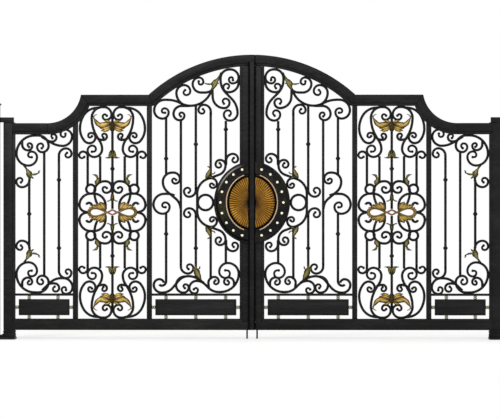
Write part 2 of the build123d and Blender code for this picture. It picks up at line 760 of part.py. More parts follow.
with BuildPart() as inner_scrollwork:
    with BuildSketch(Plane.XZ) as inner_bars:
        crest = grid(inner_left, arch_under_z, inner_unit)
        foot = grid(inner_left, cross_bar_top, inner_unit, down=1)
        upper = grid(inner_left, medallion_height, inner_unit)
        lower = grid(inner_left, medallion_height, inner_unit, down=1)
        for row in inner_crest_shares:
            scroll(crest, inner_unit, row)
        for row in inner_heart_shares + inner_side_shares:
            scroll(upper, inner_unit, row)
        for row in inner_heart_shares:
            scroll(lower, inner_unit, row)
        for row in inner_foot_shares:
            scroll(foot, inner_unit, row)
        for u, v, w in inner_upper_picket_shares:
            picket(crest(u, v), upper(u, w))
        for u, w, v in inner_lower_picket_shares:
            picket(upper(u, w), foot(u, v))
        picket(crest(*inner_long_shares[:2]), foot(inner_long_shares[0], inner_long_shares[2]))
        ringlet(upper(*inner_ring_shares[:2]), inner_ring_shares[2] * inner_unit)
        for u, v in inner_upper_knot_shares:
            knot(upper(u, -v))
        for u, v in inner_lower_knot_shares:
            knot(upper(u, v))
        panel_outline(inner_left, inner_right, cross_bar_top)
    extrude(inner_bars.sketch, amount=bar_depth / 2, both=True)

# Gilt castings on the front of the bars
gilt_plane = Plane.XZ.offset(bar_depth / 2)
with BuildPart() as gilt_leaves:
    with BuildSketch(gilt_plane) as leaf_faces:
        outer_crest = grid(outer_left, low_under, outer_unit)
        outer_foot = grid(outer_left, cross_bar_top, outer_unit, down=1)
        inner_crest = grid(inner_left, arch_under_z, inner_unit)
        inner_foot = grid(inner_left, cross_bar_top, inner_unit, down=1)
        for row in outer_leaf_shares:
            petal(outer_crest, row)
            petal(outer_foot, row)
        for across in (-1, 1):
            for edge, away in ((middle_under, -1), (bottom_rail_top, 1)):
                crest = grid(middle_axis, edge, middle_unit, across, away)
                heart = grid(middle_axis, middle_height, middle_unit, across, away)
                for row in tulip_shares:
                    petal(crest, row)
                for row in bud_shares + sprig_shares:
                    petal(heart, row)
        for row in inner_crest_leaf_shares:
            petal(inner_crest, row)
        for down in (-1, 1):
            for row in inner_heart_leaf_shares:
                petal(grid(inner_left, medallion_height, inner_unit, down=down), row)
        for row in inner_foot_leaf_shares:
            petal(inner_foot, row)
    extrude(leaf_faces.sketch, amount=gilt_thickness)

with BuildPart() as gilt_palmettes:
    with BuildSketch(gilt_plane) as palmette_faces:
        for across in (-1, 1):
            for edge, away in ((middle_under, -1), (bottom_rail_top, 1)):
                for row in palmette_shares:
                    petal(grid(middle_axis, edge, middle_unit, across, away), row)
    extrude(palmette_faces.sketch, amount=gilt_thickness)

with BuildPart() as gilt_rosette:
    with BuildSketch(gilt_plane) as rosette_face:
        for across in (-1, 1):
            for down in (-1, 1):
                heart = grid(middle_axis, middle_height, middle_unit, across, down)
                for row in rosette_leaf_shares:
                    petal(heart, row)
            tear(heart, rosette_frame_share)
        diamond(heart, rosette_heart_share)
        for across in (-1, 1):
            heart = grid(middle_axis, middle_height, middle_unit, across)
            tear(heart, rosette_hole_share, Mode.SUBTRACT)
        diamond(heart, rosette_eye_share, Mode.SUBTRACT)
    extrude(rosette_face.sketch, amount=gilt_thickness)

# Half medallion on the meeting stile
with BuildPart() as medallion_ring:
    with BuildSketch(Plane.XZ.offset(-front)) as ring_face:
        oval(ring_half_width, ring_half_height)
        oval(bead_half_width, bead_half_height, Mode.SUBTRACT)
    extrude(ring_face.sketch, amount=ring_thickness)
    with BuildSketch(Plane.XZ.offset(-front + ring_thickness)) as rim_face:
        oval(ring_half_width, ring_half_height)
        oval(ring_half_width - rim_width, ring_half_height - rim_width, Mode.SUBTRACT)
    extrude(rim_face.sketch, amount=rim_proud)
    split(bisect_by=Plane.YZ.offset(stile_end), keep=Keep.BOTTOM)

with BuildPart() as medallion_bead:
    with BuildSketch(Plane.XZ.offset(-front)) as bead_face:
        oval(bead_half_width - weld_gap, bead_half_height - weld_gap)
        oval(bead_half_width - bead_width, bead_half_height - bead_width, Mode.SUBTRACT)
    extrude(bead_face.sketch, amount=bead_thickness)
    split(bisect_by=Plane.YZ.offset(stile_end), keep=Keep.BOTTOM)

with BuildPart() as medallion_sunburst:
    dish_half_width = bead_half_width - bead_width - weld_gap
    dish_half_height = bead_half_height - bead_width - weld_gap
    ray_half_width = dish_half_width - dish_gap
    ray_half_height = dish_half_height - dish_gap
    with BuildSketch(Plane.XZ.offset(-front)) as dish_face:
        oval(dish_half_width, dish_half_height)
    extrude(dish_face.sketch, amount=dish_thickness)
    with BuildSketch(Plane.XZ.offset(-front + dish_thickness)) as ray_face:
        ray_step = math.pi / (2 * ray_count)
        for index in range(ray_count):
            first = math.pi / 2 + (2 * index + 0.5) * ray_step
            ray_points = []
            for angle in (first, first + ray_step):
                ray_x = gate_middle + ray_half_width * math.cos(angle)
                ray_z = medallion_height + ray_half_height * math.sin(angle)
                ray_points.append((ray_x, ray_z))
            with BuildLine() as ray_line:
                Polyline((gate_middle, medallion_height), *ray_points, close=True)
            make_face()
    extrude(ray_face.sketch, amount=ray_proud)
    split(bisect_by=Plane.YZ.offset(stile_end), keep=Keep.BOTTOM)

with BuildPart() as medallion_studs:
    with BuildSketch(Plane.XZ.offset(-front + ring_thickness)) as stud_faces:
        for index in range(stud_count):
            angle = math.radians(180 + (index - (stud_count - 1) / 2) * stud_step)
            stud_x = gate_middle + (ring_half_width - stud_inset) * math.cos(angle)
            stud_z = medallion_height + (ring_half_height - stud_inset) * math.sin(angle)
            with Locations((stud_x, stud_z)):
                RegularPolygon(stud_radius, stud_sides)
    extrude(stud_faces.sketch, amount=stud_height)

# Drop bolt and its guides, on the back of the meeting stile
bolt_x = stile_end - guide_size / 2
bolt_y = back + guide_size / 2 + guide_standoff
with BuildPart() as bolt_guides:
    for guide_z in (low_guide_height, high_guide_height):
        slab(
            bolt_x - guide_size / 2,
            bolt_x + guide_size / 2,
            guide_z,
            guide_z + guide_height,
            back,
            bolt_y + guide_size / 2,
        )
        drum(bolt_x, bolt_y, guide_z, guide_z + guide_height, bolt_radius + bolt_play, Mode.SUBTRACT)

with BuildPart() as drop_bolt:
    drum(bolt_x, bolt_y, bolt_tip, bolt_tip + bolt_length, bolt_radius)
    with BuildSketch(Plane.XZ.offset(-bolt_y)) as handle_face:
        with Locations((bolt_x, bolt_handle_height)):
            Circle(bolt_handle_radius)
    extrude(handle_face.sketch, amount=-bolt_handle_reach)

# The mirrored pairs are written out, left and right
pairs = {
    "post": post,
    "ground_plate": ground_plate,
    "pivot_foot": pivot_foot,
    "top_bracket": top_bracket,
    "hinge_stile": hinge_stile,
    "bottom_rail": bottom_rail,
    "meeting_stile": meeting_stile,
    "top_rail_low": top_rail_low,
    "top_rail_sweep": top_rail_sweep,
    "top_rail_middle": top_rail_middle,
    "mullions": mullions,
    "cross_bars": cross_bars,
    "kick_plates": kick_plates,
    "kick_collars": kick_collars,
    "outer_scrollwork": outer_scrollwork,
    "middle_scrollwork": middle_scrollwork,
    "inner_scrollwork": inner_scrollwork,
    "gilt_leaves": gilt_leaves,
    "gilt_palmettes": gilt_palmettes,
    "gilt_rosette": gilt_rosette,
    "medallion_ring": medallion_ring,
    "medallion_bead": medallion_bead,
    "medallion_sunburst": medallion_sunburst,
    "medallion_studs": medallion_studs,
    "bolt_guides": bolt_guides,
    "drop_bolt": drop_bolt,
}
for name, piece in pairs.items():
    piece.part.label = "left_" + name
    export_step(piece.part, "parts/left_" + name + ".step")
    with BuildPart() as twin:
        mirror(piece.part, about=gate_mirror)
    twin.part.label = "right_" + name
    export_step(twin.part, "parts/right_" + name + ".step")

top_rail_arch.part.label = "left_top_rail_arch"
export_step(top_rail_arch.part, "parts/left_top_rail_arch.step")
right_top_rail_arch.part.label = "right_top_rail_arch"
export_step(right_top_rail_arch.part, "parts/right_top_rail_arch.step")
closing_strip.part.label = "closing_strip"
export_step(closing_strip.part, "parts/closing_strip.step")
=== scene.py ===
"""Looks of a double-leaf steel drive gate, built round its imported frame.

The setting-out repeats the frame's own sizes. This script replaces the plain solids of the
scrollwork, the castings and the medallion with finer surfaces, rounds the edges of the
tubes, and gives each piece the finish of its material. Sizes are millimetres and are turned
to metres when a mesh is made. +X runs along the gate, +Z is up and the front faces -Y.
"""

import logging
import math
from collections.abc import Sequence
from dataclasses import dataclass, field, replace
from enum import Enum

import bmesh
import bpy
import numpy as np
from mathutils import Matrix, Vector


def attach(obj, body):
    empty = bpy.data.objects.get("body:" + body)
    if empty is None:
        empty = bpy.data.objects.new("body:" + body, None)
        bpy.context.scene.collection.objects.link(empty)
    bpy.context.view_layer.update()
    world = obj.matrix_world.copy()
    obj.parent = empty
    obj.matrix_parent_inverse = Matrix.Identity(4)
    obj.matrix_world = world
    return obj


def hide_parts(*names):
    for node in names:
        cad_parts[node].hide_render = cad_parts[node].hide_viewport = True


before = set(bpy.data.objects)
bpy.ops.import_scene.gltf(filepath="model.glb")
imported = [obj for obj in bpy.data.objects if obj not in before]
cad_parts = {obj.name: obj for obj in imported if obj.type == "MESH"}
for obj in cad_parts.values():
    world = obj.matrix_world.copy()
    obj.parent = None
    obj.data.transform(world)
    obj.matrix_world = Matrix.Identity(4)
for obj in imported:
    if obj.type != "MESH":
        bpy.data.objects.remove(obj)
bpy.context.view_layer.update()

log = logging.getLogger("gate")
MM = 0.001
ALONG, BACK, UP = (1.0, 0.0, 0.0), (0.0, 1.0, 0.0), (0.0, 0.0, 1.0)
FRONT = (0.0, -1.0, 0.0)
ROUND = 16  # corners of a small turned piece
Row = tuple
Rows = tuple[Row, ...]


class Side(Enum):
    """The two leaves. The right one is the mirror image of the left."""

    LEFT = "left"
    RIGHT = "right"

    @property
    def leaf(self) -> str:
        """Name of the body that carries this leaf's pieces."""
        return f"{self.value}_leaf"

    def node(self, piece: str) -> str:
        """Name of a paired node or piece on this side."""
        return f"{self.value}_{piece}"

    def turn(self, shells: list["Shell"]) -> list["Shell"]:
        """The shells as this side has them: as drawn on the left and mirrored on the right."""
        return shells if self is Side.LEFT else [s.mirrored(SET.gate_middle) for s in shells]


@dataclass(frozen=True)
class SettingOut:
    """The gate's setting-out in millimetres, as its frame was made."""

    gate_middle: float = 2220.5
    outer_left: float = 210.0
    outer_width: float = 489.0
    middle_left: float = 743.0
    middle_width: float = 584.0
    inner_left: float = 1371.0
    inner_width: float = 745.0
    stile_end: float = 2192.0
    bottom_rail_top: float = 174.0
    cross_bar_top: float = 388.0
    low_under: float = 1738.0
    middle_under: float = 1979.0
    crown_top: float = 2414.0
    crown_rise: float = 339.0
    haunch_share: float = 0.36
    mullion: float = 44.0
    rail_height: float = 96.0
    medallion_share: float = 0.401
    bar: float = 22.0
    frame_front: float = -30.0

    @property
    def arch_under(self) -> float:
        """Underside of the arch over the meeting stile's edge.

        The arch's outer circle goes through its haunch and its crown, so its radius is
        (half^2 + rise^2) / (2 rise). The underside lies on a circle that is smaller by the
        rail's height.

        Returns:
            The height in millimetres.
        """
        haunch = self.middle_left + self.middle_width + self.haunch_share * self.mullion
        half = self.gate_middle - haunch
        radius = (half**2 + self.crown_rise**2) / (2 * self.crown_rise)
        reach = self.gate_middle - self.inner_left - self.inner_width
        inner = radius - self.rail_height
        return self.crown_top - radius + math.sqrt(inner**2 - reach**2)

    @property
    def medallion_z(self) -> float:
        """Height of the medallion's middle: a share of the clear height over the cross bar."""
        return self.cross_bar_top + self.medallion_share * (self.arch_under - self.cross_bar_top)


SET = SettingOut()


@dataclass
class Shell:
    """A closed surface: vertices, four-sided faces, end caps and one tone value a vertex."""

    verts: np.ndarray
    quads: np.ndarray
    caps: list[np.ndarray]
    tone: np.ndarray

    def outward(self) -> "Shell":
        """Turns every face round when the signed volume under the surface is negative.

        Returns:
            This shell.
        """
        faces = np.concatenate([self.quads, *(_fan(cap) for cap in self.caps)])
        if _signed_volume(self.verts, faces) < 0:
            self.quads = self.quads[:, ::-1]
            self.caps = [cap[::-1] for cap in self.caps]
        return self

    def mirrored(self, middle: float) -> "Shell":
        """The mirror image in the plane x = middle, with its faces turned back outwards."""
        verts = self.verts * [-1, 1, 1] + [2 * middle, 0, 0]
        return Shell(verts, self.quads[:, ::-1], [cap[::-1] for cap in self.caps], self.tone)


def _fan(cap: np.ndarray) -> np.ndarray:
    """A polygon as four-sided rows with the last corner doubled, fanned from its first corner."""
    first = np.full(len(cap) - 2, cap[0])
    return np.stack([first, cap[1:-1], cap[2:], cap[2:]], axis=1)


def _signed_volume(verts: np.ndarray, quads: np.ndarray) -> float:
    """Sum of the tetrahedra from the origin to both triangles of each four-sided face."""
    a, b, c, d = (verts[quads[:, k]] for k in range(4))
    return float(np.sum(a * (np.cross(b, c) + np.cross(c, d))))


def tube(rings: np.ndarray, tone: np.ndarray | None = None, loop: bool = False) -> Shell:
    """Skins a row of rings into one closed surface.

    Face (i, j) joins corners j and j+1 of ring i to those of ring i+1, counted round.

    Args:
        rings: corners of each ring, shaped rings by corners by 3.
        tone: one value a corner, shaped rings by corners, or None for a half everywhere.
        loop: whether the last ring joins the first. If not, both ends are capped.

    Returns:
        The closed surface, facing outwards.
    """
    count, corners = rings.shape[:2]
    i = np.arange(count if loop else count - 1)[:, None]
    j = np.arange(corners)[None, :]
    k = (j + 1) % corners
    n = (i + 1) % count
    quads = np.stack([i * corners + j, i * corners + k, n * corners + k, n * corners + j], -1)
    caps = [] if loop else [np.arange(corners)[::-1], (count - 1) * corners + np.arange(corners)]
    values = np.full(count * corners, 0.5) if tone is None else tone.reshape(-1)
    return Shell(rings.reshape(-1, 3), quads.reshape(-1, 4), caps, values).outward()


def block(low: Row, high: Row) -> Shell:
    """A plain box: its four-cornered plan at two heights.

    Args:
        low: the corner of least x, y and z.
        high: the opposite corner.

    Returns:
        The box as a closed surface.
    """
    (x0, y0, z0), (x1, y1, z1) = low, high
    plan = np.array([[x0, y0, 0], [x1, y0, 0], [x1, y1, 0], [x0, y1, 0]])
    return tube(plan + np.array([[0, 0, z0], [0, 0, z1]])[:, None, :])


def turned(base: Row, axis: Row, profile: np.ndarray, corners: int) -> Shell:
    """A turned piece: the profile (along, radius) carried round an axis.

    Args:
        base: point on the axis where along is zero.
        axis: direction of the axis, one of the three main ones.
        profile: rows of along and radius.
        corners: points round each ring.

    Returns:
        The turned surface with flat ends, its tone bright where it is widest: under a relief
        finish, a painted highlight on the bellies and painted shade in the necks.
    """
    way, radius = np.array(axis), profile[:, 1]
    side = np.cross(way, ALONG if way[1] else BACK)
    up = np.cross(way, side)
    angle = 2 * np.pi * np.arange(corners) / corners
    spoke = np.cos(angle)[:, None] * side + np.sin(angle)[:, None] * up
    rings = np.array(base) + profile[:, 0, None, None] * way + radius[:, None, None] * spoke
    # tone by radius: painted highlight where the piece is widest, painted shade where it is
    # narrowest
    level = (radius - radius.min()) / np.ptp(radius)
    return tube(rings, np.repeat(level[:, None], corners, axis=1))


@dataclass
class Workshop:
    """Turns shells into named pieces and sets them on the frame."""

    merge_m: float = 2e-5
    flat_angle: float = math.radians(0.4)
    sharp_angle: float = math.radians(35)
    edge_steps: int = 2
    made: list[str] = field(default_factory=list)

    def pair(
        self, side: Side, name: str, shells: list[Shell], finish: "Finish", body: str,
        nodes: Sequence[str] = (), smooth: bool = True,
    ) -> None:
        """Makes one side's piece of a pair, from shells as drawn for the left side."""
        named = tuple(side.node(part) for part in nodes)
        self.piece(side.node(name), side.turn(shells), finish, body, named, smooth)

    def piece(
        self, name: str, shells: list[Shell], finish: "Finish", body: str,
        nodes: Sequence[str] = (), smooth: bool = True,
    ) -> None:
        """Makes one piece from closed shells, stacked one after another into a mesh.

        Args:
            name: name of the piece.
            shells: its closed surfaces, in millimetres.
            finish: the material finish it wears.
            body: the body that it rides on.
            nodes: the frame nodes that it stands for.
            smooth: whether its faces shade smoothly.
        """
        starts = np.cumsum([0] + [len(s.verts) for s in shells[:-1]])
        verts = np.concatenate([s.verts for s in shells]) * MM
        faces = np.concatenate([s.quads + at for s, at in zip(shells, starts)]).tolist()
        for shell, at in zip(shells, starts):
            faces.extend((cap + at).tolist() for cap in shell.caps)
        mesh = bpy.data.meshes.new(name)
        mesh.from_pydata(verts.tolist(), [], faces)
        tone = np.concatenate([s.tone for s in shells]).astype(np.float32)
        mesh.attributes.new("tone", "FLOAT", "POINT").data.foreach_set("value", tone)
        mesh.polygons.foreach_set("use_smooth", np.full(len(mesh.polygons), smooth))
        mesh.validate()
        mesh.update()
        self._set(name, mesh, finish, body, nodes)

    def rounded(self, solid: str, finish: "Finish", body: str, radius: float) -> None:
        """Stands a copy of a frame node in its place, with the edge radius of drawn tube.

        Args:
            solid: the frame node.
            finish: the material finish it wears.
            body: the body that it rides on.
            radius: edge radius in millimetres.
        """
        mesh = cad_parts[solid].data.copy()
        work = bmesh.new()
        work.from_mesh(mesh)
        bmesh.ops.remove_doubles(work, verts=work.verts, dist=self.merge_m)
        bmesh.ops.dissolve_limit(
            work, angle_limit=self.flat_angle, verts=work.verts, edges=work.edges
        )
        work.to_mesh(mesh)
        work.free()
        mesh.materials.clear()
        mesh.polygons.foreach_set("use_smooth", np.full(len(mesh.polygons), True))
        piece = self._set(solid + "_rounded", mesh, finish, body, (solid,))
        edge = piece.modifiers.new("edge_radius", "BEVEL")
        edge.width = radius * MM
        edge.segments = self.edge_steps
        edge.limit_method = "ANGLE"
        edge.angle_limit = self.sharp_angle
        edge.harden_normals = True

    def dress(self, solid: str, finish: "Finish") -> None:
        """Keeps a frame node as it is and gives it a finish.

        Args:
            solid: the frame node.
            finish: the material finish it wears.
        """
        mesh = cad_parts[solid].data
        mesh.materials.clear()
        mesh.materials.append(finish.material())
        self.made.append(solid)
        log.info("%s: %d faces, kept from the frame", solid, len(mesh.polygons))

    def _set(
        self, name: str, mesh: bpy.types.Mesh, finish: "Finish", body: str, nodes: Sequence[str]
    ) -> bpy.types.Object:
        """Links a mesh as a piece, dresses it and lets it ride on its body.

        Args:
            name: name of the piece.
            mesh: its mesh, in metres.
            finish: the material finish it wears.
            body: the body that it rides on.
            nodes: the frame nodes that it stands for.

        Returns:
            The new object, at the origin.
        """
        obj = in_scene(name, mesh)
        mesh.materials.append(finish.material())
        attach(obj, body)
        if nodes:
            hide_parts(*nodes)
        self.made.append(name)
        log.info("%s: %d faces on %s", name, len(mesh.polygons), body)
        return obj


def linear(code: str) -> Row:
    """An sRGB hex colour as linear light: c/12.92 below 0.04045, else ((c+0.055)/1.055)^2.4.

    Args:
        code: the colour as #RRGGBB.

    Returns:
        Red, green, blue and an alpha of one.
    """
    value = np.array([int(code[k : k + 2], 16) for k in (1, 3, 5)]) / 255
    light = np.where(value <= 0.04045, value / 12.92, ((value + 0.055) / 1.055) ** 2.4)
    return (*light.tolist(), 1.0)


def node(tree: bpy.types.NodeTree, kind: str, inputs: dict, **settings: object) -> bpy.types.Node:
    """Adds one shader node with its settings, input values and links.

    Args:
        tree: the material's or world's tree.
        kind: the node's type name without its prefix.
        inputs: socket name or number to a value, or to a (node, output) pair to link.
        settings: properties of the node.

    Returns:
        The new node.
    """
    new = tree.nodes.new("ShaderNode" + kind)
    for key, value in settings.items():
        setattr(new, key, value)
    for key, value in inputs.items():
        if isinstance(value, tuple) and isinstance(value[0], bpy.types.Node):
            tree.links.new(value[0].outputs[value[1]], new.inputs[key])
        else:
            new.inputs[key].default_value = value
    return new


def in_scene(name: str, data: bpy.types.ID) -> bpy.types.Object:
    """A new object in the scene, which shows a mesh, a light or a camera.

    Args:
        name: name of the object.
        data: what it shows.

    Returns:
        The object, at the origin.
    """
    obj = bpy.data.objects.new(name, data)
    bpy.context.scene.collection.objects.link(obj)
    return obj


def blank_tree(owner: bpy.types.Material | bpy.types.World) -> bpy.types.NodeTree:
    """The emptied node tree of a material or a world.

    Args:
        owner: the material or the world.

    Returns:
        Its tree.
    """
    owner.use_nodes = True
    owner.node_tree.nodes.clear()
    return owner.node_tree


class Pattern(Enum):
    """What the colour follows, with the levels of the low, the middle and the high colour."""

    GRAIN = (0.36, 0.5, 0.66)
    RELIEF = (0.05, 0.45, 0.95)


@dataclass(frozen=True)
class Finish:
    """One real material: its colours, gloss and the size of its surface texture."""

    name: str
    slot: str
    colours: Row
    rough: Row
    specular: float
    grain_mm: float
    bump_mm: float
    metallic: float = 0.0
    pattern: Pattern = Pattern.GRAIN
    stretch: Row = (1.0, 1.0, 1.0)
    coat: float = 0.0

    def material(self) -> bpy.types.Material:
        """The finish as a node material, made once and then shared.

        Noise with a period of the grain size, drawn out by the stretch, runs a ramp from the
        low to the high colour. A relief finish adds the piece's tone: dark patina in the hollows
        and rubbed ridges on the castings, and painted highlights and painted shade on the bead,
        the ring's line, the fan, the spools and the roots of the petals. The same noise varies
        roughness and bump.

        Returns:
            The material.
        """
        found = bpy.data.materials.get(self.name)
        if found:
            return found
        made = bpy.data.materials.new(self.name)
        tree = blank_tree(made)
        place = node(tree, "TexCoord", {})
        scale = [part / (self.grain_mm * MM) for part in self.stretch]
        drawn = node(tree, "Mapping", {"Vector": (place, "Object"), "Scale": scale})
        fine = {"Scale": 1.0, "Detail": 4.0, "Roughness": 0.6}
        wide = {"Scale": 0.12, "Detail": 2.0, "Roughness": 0.5}
        grain = node(tree, "TexNoise", {"Vector": (drawn, 0), **fine})
        broad = node(tree, "TexNoise", {"Vector": (drawn, 0), **wide})
        mixed = node(tree, "Math", {0: (grain, 0), 1: (broad, 0)}, operation="ADD")
        level = node(tree, "Math", {0: (mixed, 0), 1: 0.5}, operation="MULTIPLY")
        if self.pattern is Pattern.RELIEF:
            tone = node(tree, "Attribute", {}, attribute_name="tone")
            shifted = node(tree, "Math", {0: (level, 0), 1: 0.5}, operation="SUBTRACT")
            raised = {0: (shifted, 0), 1: 0.7, 2: (tone, "Fac")}
            level = node(tree, "Math", raised, operation="MULTIPLY_ADD")
        ramp = node(tree, "ValToRGB", {"Fac": (level, 0)})
        points = ramp.color_ramp.elements
        points.new(self.pattern.value[1])
        for point, at, code in zip(points, self.pattern.value, self.colours):
            point.position = at
            point.color = linear(code)
        least, most = self.rough
        ends = {"From Min": 0.3, "From Max": 0.7, "To Min": least, "To Max": most}
        gloss = node(tree, "MapRange", {"Value": (grain, 0), **ends})
        depth = {"Strength": 0.5, "Distance": self.bump_mm * MM}
        bump = node(tree, "Bump", {"Height": (grain, 0), **depth})
        shader = node(
            tree,
            "BsdfPrincipled",
            {
                "Base Color": (ramp, 0),
                "Roughness": (gloss, 0),
                "Normal": (bump, 0),
                "Metallic": self.metallic,
                "Specular IOR Level": self.specular,
                "Coat Weight": self.coat,
                "Coat Roughness": 0.25,
            },
        )
        node(tree, "OutputMaterial", {"Surface": (shader, 0)})
        return made


# Satin paint on drawn tube: nearly black, with faint streaks along the tube from the brush
TUBE_PAINT = Finish(
    "satin_paint_on_steel_tube", "frame_black", ("#0A0A0A", "#121212", "#1E1E1E"),
    rough=(0.45, 0.62), specular=0.11, grain_mm=22.0, bump_mm=0.3, stretch=(0.35, 1.0, 1.0),
)
# The same paint on hot-forged bar: blacker and slightly uneven from the hammer
BAR_PAINT = Finish(
    "paint_on_forged_bar", "bar_black", ("#050505", "#0A0A0A", "#151515"),
    rough=(0.38, 0.55), specular=0.12, grain_mm=14.0, bump_mm=0.6,
)
# Semi-gloss paint on the cast ring: black with a fine olive bloom in its pores
RING_PAINT = Finish(
    "semi_gloss_paint_on_cast_ring", "ring_black", ("#070609", "#0F0E11", "#252316"),
    rough=(0.34, 0.52), specular=0.08, grain_mm=16.0, bump_mm=0.5,
)
# The ring's raised line: the same paint, pale on its upper side as a painted highlight and near
# black below as painted shade
RING_LINE_HIGHLIGHT = Finish(
    "ring_line_paint_with_painted_highlight", "ring_black", ("#020202", "#1C1B1A", "#79746E"),
    rough=(0.5, 0.65), specular=0.04, grain_mm=16.0, bump_mm=0.2, pattern=Pattern.RELIEF,
)
# Brushed sheet under dark lacquer: long fine lines along the plate
KICK_SHEET = Finish(
    "brushed_lacquered_sheet", "kick_grey", ("#0C0B0C", "#151415", "#222022"),
    rough=(0.42, 0.6), specular=0.13, grain_mm=5.0, bump_mm=0.2, metallic=0.1,
    stretch=(0.05, 1.0, 1.0),
)
# Antique gold on iron castings: brown-black in the hollows, rubbed yellow on the ridges
GILT = Finish(
    "antique_gold_on_casting", "gilt", ("#120D04", "#584314", "#B2964A"),
    rough=(0.36, 0.55), specular=0.35, grain_mm=7.0, bump_mm=0.4, metallic=0.45,
    pattern=Pattern.RELIEF,
)
# Olive gold on the leaves and buds, which see more weather and less rubbing
DULL_GILT = Finish(
    "weathered_olive_gold_on_casting", "gilt", ("#0E0E05", "#393512", "#7C7236"),
    rough=(0.42, 0.6), specular=0.3, grain_mm=7.0, bump_mm=0.4, metallic=0.35,
    pattern=Pattern.RELIEF,
)
# Thin pale gold on the kick plate's spools, worn to a greyish straw colour; its tone is a painted
# highlight on the bellies and painted shade in the necks
PALE_GILT = Finish(
    "worn_straw_gold_on_spool", "gilt", ("#323026", "#686655", "#9E9B88"),
    rough=(0.4, 0.58), specular=0.3, grain_mm=7.0, bump_mm=0.3, metallic=0.25,
    pattern=Pattern.RELIEF,
)
# Rose bronze on the small diamond, a warm brown with a pink cast
ROSE_BRONZE = Finish(
    "rose_bronze_on_casting", "gilt", ("#24120C", "#74493A", "#B88C7C"),
    rough=(0.38, 0.55), specular=0.35, grain_mm=7.0, bump_mm=0.3, metallic=0.4,
    pattern=Pattern.RELIEF,
)
# Pressed bronze fan: painted shade towards its middle and in the groove by the bead, and a golden
# painted highlight on the crests of the pleats
SUNBURST = Finish(
    "pressed_bronze_fan", "sunburst_gold", ("#080401", "#4E3106", "#A2741E"),
    rough=(0.34, 0.5), specular=0.2, grain_mm=10.0, bump_mm=0.15, metallic=0.55,
    pattern=Pattern.RELIEF,
)
# Fired enamel on the bead: warm cream with a pink cast; its near-black low colour is painted shade
# at the bead's sides and its pale high colour a painted highlight on the crest
BEAD_ENAMEL = Finish(
    "warm_cream_enamel", "cream", ("#100602", "#705A3C", "#AE9878"),
    rough=(0.25, 0.4), specular=0.4, grain_mm=40.0, bump_mm=0.1, pattern=Pattern.RELIEF, coat=0.2,
)
# Fired enamel on the studs: paler, with a green-yellow edge
STUD_ENAMEL = Finish(
    "pale_cream_enamel", "cream", ("#6E6E38", "#CFCBA2", "#ECE9CE"),
    rough=(0.2, 0.35), specular=0.5, grain_mm=8.0, bump_mm=0.1, pattern=Pattern.RELIEF, coat=0.4,
)
# Drawn rod, gone dark with oil and weather, with fine lines along it
ROD_STEEL = Finish(
    "worn_drawn_steel_rod", "bright_steel", ("#060607", "#0C0C0D", "#242427"),
    rough=(0.4, 0.6), specular=0.15, grain_mm=6.0, bump_mm=0.1, metallic=0.3,
    stretch=(1.0, 1.0, 0.06),
)
# Black rubber of the strip's lip and seals, whose black stands for the shadow lines at the strip's
# edges as painted shadow: dull, with fine extrusion lines along it
SHADOW_LINE_RUBBER = Finish(
    "black_rubber_as_painted_shadow", "frame_black", ("#010101", "#020202", "#060606"),
    rough=(0.8, 0.95), specular=0.05, grain_mm=3.0, bump_mm=0.1, stretch=(1.0, 1.0, 0.04),
)


@dataclass(frozen=True)
class Grid:
    """A setting-out grid: squares across from x, and squares away from z."""

    x: float
    z: float
    unit: float
    across: int = 1
    down: int = -1

    def at(self, u: np.ndarray, v: np.ndarray) -> np.ndarray:
        """Places on the grid: x + across u and z + down v, in steps of its unit.

        Args:
            u: squares across.
            v: squares away.

        Returns:
            Rows of x, 0, z in millimetres.
        """
        x = self.x + self.across * np.asarray(u, float) * self.unit
        z = self.z + self.down * np.asarray(v, float) * self.unit
        return np.stack([x, np.zeros_like(x), z], axis=-1)

    def way(self, u: np.ndarray, v: np.ndarray) -> np.ndarray:
        """A direction given in squares, as rows of x, 0, z."""
        return np.stack([self.across * u, np.zeros_like(u), self.down * v], axis=-1)


